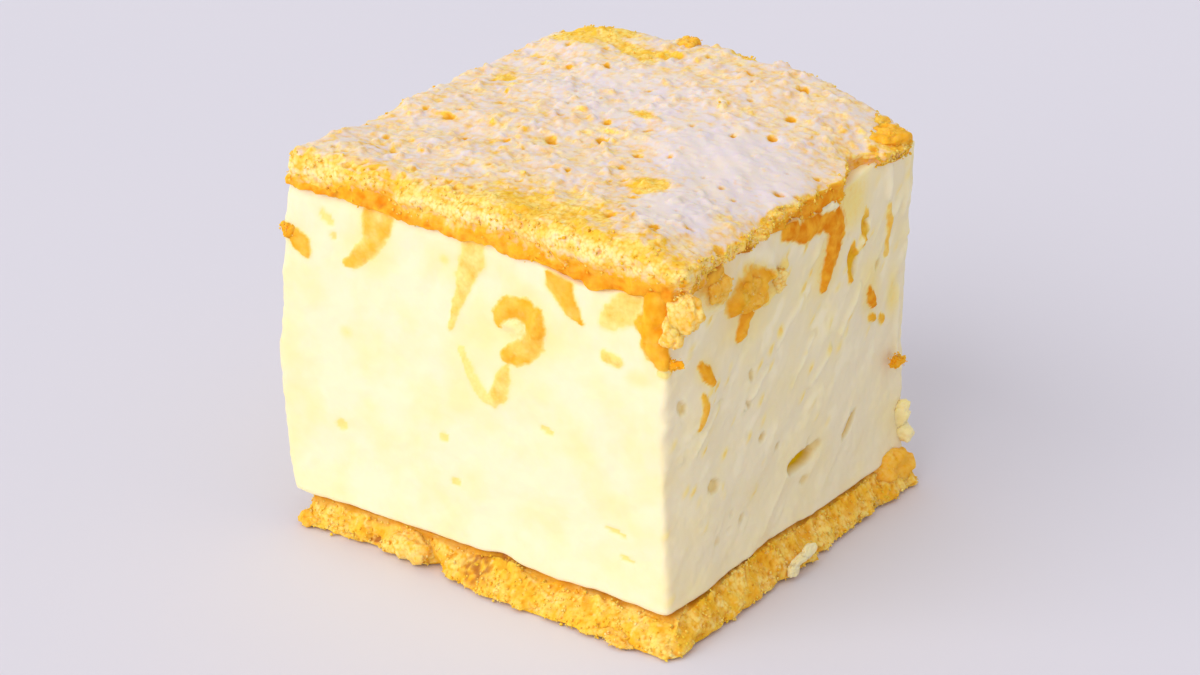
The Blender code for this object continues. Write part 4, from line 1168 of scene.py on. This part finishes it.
def crumb_flecks(across, up):
    """Small flakes of crumb strung along the knife's streaks, most of them high up, and a draw for each."""
    bend = 0.5 * MM * gradient_noise(flat_points(across, up), 4 * MM, 96)
    along = (across + up) / math.sqrt(2) / 2.1
    beside = (across - up) / math.sqrt(2) + bend
    spot, drawn = cell_noise(np.stack([beside, along, np.zeros_like(along)], axis=1), 2.1 * MM, 95)
    strung = smooth(streaks(across, up, 5 * MM, 4.0, 97), -0.4, 0.3)
    crowd = 0.95 * smooth(up - 0.4 * across, 14 * MM, 34 * MM) * strung
    return (1.0 - smooth(spot, 0.08, 0.4)) * (drawn < crowd), drawn


def cream_block(material):
    """The cream's skin: its solid's form, with soft waves, knife streaks, smears, bubbles and stains on it.

    Highlights and shade are painted on the side's streaks, and shade in the dents of its bubbles.

    A smear rises with the share of its half width that lies inside its path. A bubble sinks in by its
    depth inside an ellipse. The rim reaches up into the upper sheet, and the foot spreads a little.
    """
    share, quads, triangles = skin(CREAM_SQUARES, 8, 8)
    points = shape_cream(share)
    normals = vertex_normals(points, quads, triangles)
    x, y, z = points.T
    up = (z - BASE_TOP) / (CREAM_TOP - BASE_TOP)
    free = smooth(up, 0.0, 0.06) * (1.0 - smooth(up, 0.96, 1.0))
    sideways = np.clip(np.abs(normals[:, 0]), 0, 1) * free
    frontways = np.clip(np.abs(normals[:, 1]), 0, 1) * free
    on_side = sideways * (normals[:, 0] > 0)

    # Waves everywhere, and streaks, ridges and pimples on the faces that the knife cut
    height = added_noise(points, CREAM_WAVES)
    height += sideways * 0.22 * MM * streaks(y, z, 3.0 * MM, 8.0, 35)
    ridges = smooth(streaks(y, z, 1.7 * MM, 5.0, 36), 0.2, 0.8)
    ridges *= smooth(streaks(y, z, 9 * MM, 2.0, 39), -0.3, 0.4)
    dragged = 0.35 + 0.65 * smooth(z - 0.35 * y, 16 * MM, 34 * MM)
    ridges *= dragged
    height += sideways * (0.7 * MM * ridges + 0.1 * MM * gradient_noise(points, 1.0 * MM, 40))
    spot, drawn = cell_noise(points, 2.6 * MM, 89)
    pimples = (1.0 - smooth(spot, 0.08, 0.26)) * sideways
    height += 0.22 * MM * pimples * ((drawn < 0.12) - 1.6 * (drawn > 0.86))
    drawn_up = gradient_noise(points * [1, 1, 0.5], 2.4 * MM, 37)
    height += 0.22 * MM * frontways * smooth(up, 0.55, 1.0) * drawn_up
    edges = smooth(np.abs(normals[:, 0]) * np.abs(normals[:, 1]), 0.1, 0.4)
    height += edges * 0.22 * MM * gradient_noise(points, 2.6 * MM, 38) * free

    # Smears, each over the last where it is stronger
    stain = np.zeros(len(points))
    tone = np.zeros(len(points))
    dent_shade = np.zeros(len(points))
    faces = {"front": (x, smooth(-normals[:, 1], 0.4, 0.8)), "side": (y, smooth(normals[:, 0], 0.4, 0.8))}
    ragged = added_noise(points, SMEAR_RAGS)
    patches = smooth(streaks(y, z, 3.4 * MM, 2.6, 98), 0.0, 0.5) * clouds(points, 1.6 * MM, 99, -0.5, 0.3)
    # Painted highlights on the side's knife ridges and light patches, painted shade over the rest of the
    # side
    streak_light_and_shade = on_side * (1.2 * ridges + patches * dragged - 0.34)
    relief, pore = torn_crumb(points, 9, 1.0)
    for face, thick, soaked, path in SMEARS:
        place, on_face = faces[face]
        share = path_share(place, z, path) + ragged
        inside = smooth(share, -0.22, 0.5) * on_face
        grainy = 0.0 if soaked is None else 0.3 + 0.4 * thick
        height += inside * (thick * MM * smooth(share, -0.1, 1.0) ** 0.7 + grainy * relief)
        if soaked is None:
            # A ridge of plain cream is lightened as a painted highlight
            streak_light_and_shade += 1.2 * min(1.0, thick) * inside * smooth(share, 0.0, 0.8)
            stain *= 1.0 - min(1.0, thick) * inside
        else:
            tone = np.where(inside > stain, soaked, tone)
            stain = np.maximum(stain, inside * (0.5 + 0.5 * min(1.0, 2.5 * soaked)))
    fleck, drawn = crumb_flecks(y, z)
    fleck *= on_side
    height += 0.12 * MM * fleck
    tone = np.where(fleck > stain, 0.25 * drawn, tone)
    stain = np.maximum(stain, fleck * (0.3 + 0.25 * drawn))

    # Bubbles, with painted shade in their dents on the side, which on the bright front show as thin stains,
    # and the stains
    for face, across, rise, width, tall, deep, tilt in BUBBLES:
        place, on_face = faces[face]
        hole = ellipse_share(place, z, (across, rise), (width, tall), tilt, 0.8, 1.1) * on_face
        height -= deep * MM * hole
        if face == "side":
            dent_shade = np.maximum(dent_shade, min(1.0, 0.8 * deep) * hole)
        else:
            stain = np.maximum(stain, 0.42 * hole)
    for face, across, rise, width, tall, tilt, strength in STAINS:
        place, on_face = faces[face]
        halo = ellipse_share(place, z, (across, rise), (width, tall), tilt, 0.2, 1.2) * on_face
        stain = np.maximum(stain, strength * halo)

    points = points + normals * height[:, None]
    at_front = smooth(-y, HALF_Y - 3 * MM, HALF_Y)
    points[:, 1] += RIM_TUCK * at_front * smooth(up, 0.96, 1.0)
    points[:, 2] += (CREAM_BED + (FRONT_BED - CREAM_BED) * at_front) * smooth(up, 0.93, 1.0)
    foot = 1.0 - smooth(up, 0.0, 0.14)
    points[:, 0] += CREAM_FOOT * foot * smooth(x, HALF_X - 3 * MM, HALF_X)
    points[:, 1] -= CREAM_FOOT * foot * smooth(-y, HALF_Y - 3 * MM, HALF_Y)
    tone = np.clip(tone + 0.2 * gradient_noise(points, 2.2 * MM, 91) * (tone > 0), 0.0, 1.0)
    fields = {"stain": stain, "dent_shade": dent_shade, "streak_light_and_shade": streak_light_and_shade, "moist": 1.1 * tone, "pale": 0.6 - 1.2 * tone,
              "pore": 0.5 * pore * stain, "brown": np.zeros(len(points))}
    mesh_piece("custard_cream_block", points, quads, triangles, material, fields,
               ["cream_filling"])


def crumb_chunks(name, chunks, coarse, material, node, seed):
    """Chunks of torn crumb: rough lumps with angular grains all over them, which hang on to one node."""
    shells = [lump(centre, size, tilt, seed + 2 * place, coarse)
              for place, (centre, size, tilt, _) in enumerate(chunks)]
    tone = np.concatenate([np.full(len(shell[0]), chunk[3]) for shell, chunk in zip(shells, chunks)])
    points, quads, triangles, pore = joined(shells)
    points[:, 2] = np.maximum(points[:, 2], FLOOR_GAP)
    moist = 1.1 * np.clip(tone + 0.2 * gradient_noise(points, 2.0 * MM, 91), 0.0, 1.0)
    fields = {"pore": 0.4 * pore, "moist": moist, "brown": np.zeros(len(points)), "pale": 0.8 - 1.6 * tone}
    mesh_piece(name, points, quads, triangles, material, fields, [node])
    draw = np.random.default_rng(seed)
    pick = draw.choice(len(points), LUMP_GRAINS * len(chunks))
    places = points[pick] + draw.normal(scale=0.15 * MM, size=(len(pick), 3))
    grains, quads, triangles = grain_cloud(places, draw.uniform(0.15, 0.35, len(pick)) * MM, seed + 1)
    shade = np.clip(tone[pick] + draw.normal(scale=0.2, size=len(pick)), 0.0, 1.0).repeat(12)
    fields = {"pore": 0.2 * shade, "moist": 0.8 * shade, "brown": 0.0 * shade, "pale": 1.0 - shade}
    mesh_piece(name + "_grains", grains, quads, triangles, material, fields, [node])


def cream_dabs(material):
    """Dabs of cream that stand off: a torn tip at the back corner, and a smear on the lower sheet."""
    shells = [lump(centre, size, tilt, 240 + 2 * place, 0.0)
              for place, (centre, size, tilt) in enumerate(CREAM_DABS)]
    points, quads, triangles, _ = joined(shells)
    points[:, 2] = np.maximum(points[:, 2], FLOOR_GAP)
    fields = {name: np.zeros(len(points)) for name in (*CRUMB_FIELDS, "dent_shade", "streak_light_and_shade")}
    fields["stain"] = np.full(len(points), 0.15)
    mesh_piece("custard_cream_dabs", points, quads, triangles, material, fields,
               ["cream_filling"])


def crumb_grains(surfaces, material):
    """Grains that cling to the torn sponge: each sits on a point drawn at random from a torn surface."""
    draw = np.random.default_rng(301)
    places = []
    for points, normals, torn, count in surfaces:
        pick = draw.choice(len(points), count, p=torn / torn.sum())
        jitter = draw.normal(scale=0.12 * MM, size=(count, 3))
        places.append(points[pick] + normals[pick] * 0.06 * MM + jitter)
    places = np.concatenate(places)
    sizes = draw.uniform(0.25, 0.55, len(places)) * MM
    points, quads, triangles = grain_cloud(places, sizes, 302)
    shade = np.repeat(draw.random(len(places)), 12)
    fields = {"pore": 0.3 * (shade < 0.2), "moist": 0.4 * (shade > 0.9), "brown": 0.4 * (shade > 0.995)}
    mesh_piece("loose_sponge_crumbs", points, quads, triangles, material, fields, [])


place_camera()
light_studio()
studio_floor()
bpy.context.scene.view_settings.view_transform = "Standard"

sponge = torn_sponge_material()
cream = cream_material()
base = base_sponge(sponge)
top = top_sponge(dusted_sponge_material())
cream_block(cream)
cream_dabs(cream)
crumb_chunks("stuck_sponge_chunks", CREAM_CHUNKS, 0.6, sponge, "cream_filling", 140)
crumb_chunks("base_scraps", BASE_SCRAPS, 1.0, sponge, "base_sponge", 180)
crumb_chunks("sheet_scraps", SHEET_SCRAPS, 0.8, sponge, "top_sponge", 200)
crumb_grains([(*base, 1800), (*top, 1300)], sponge)
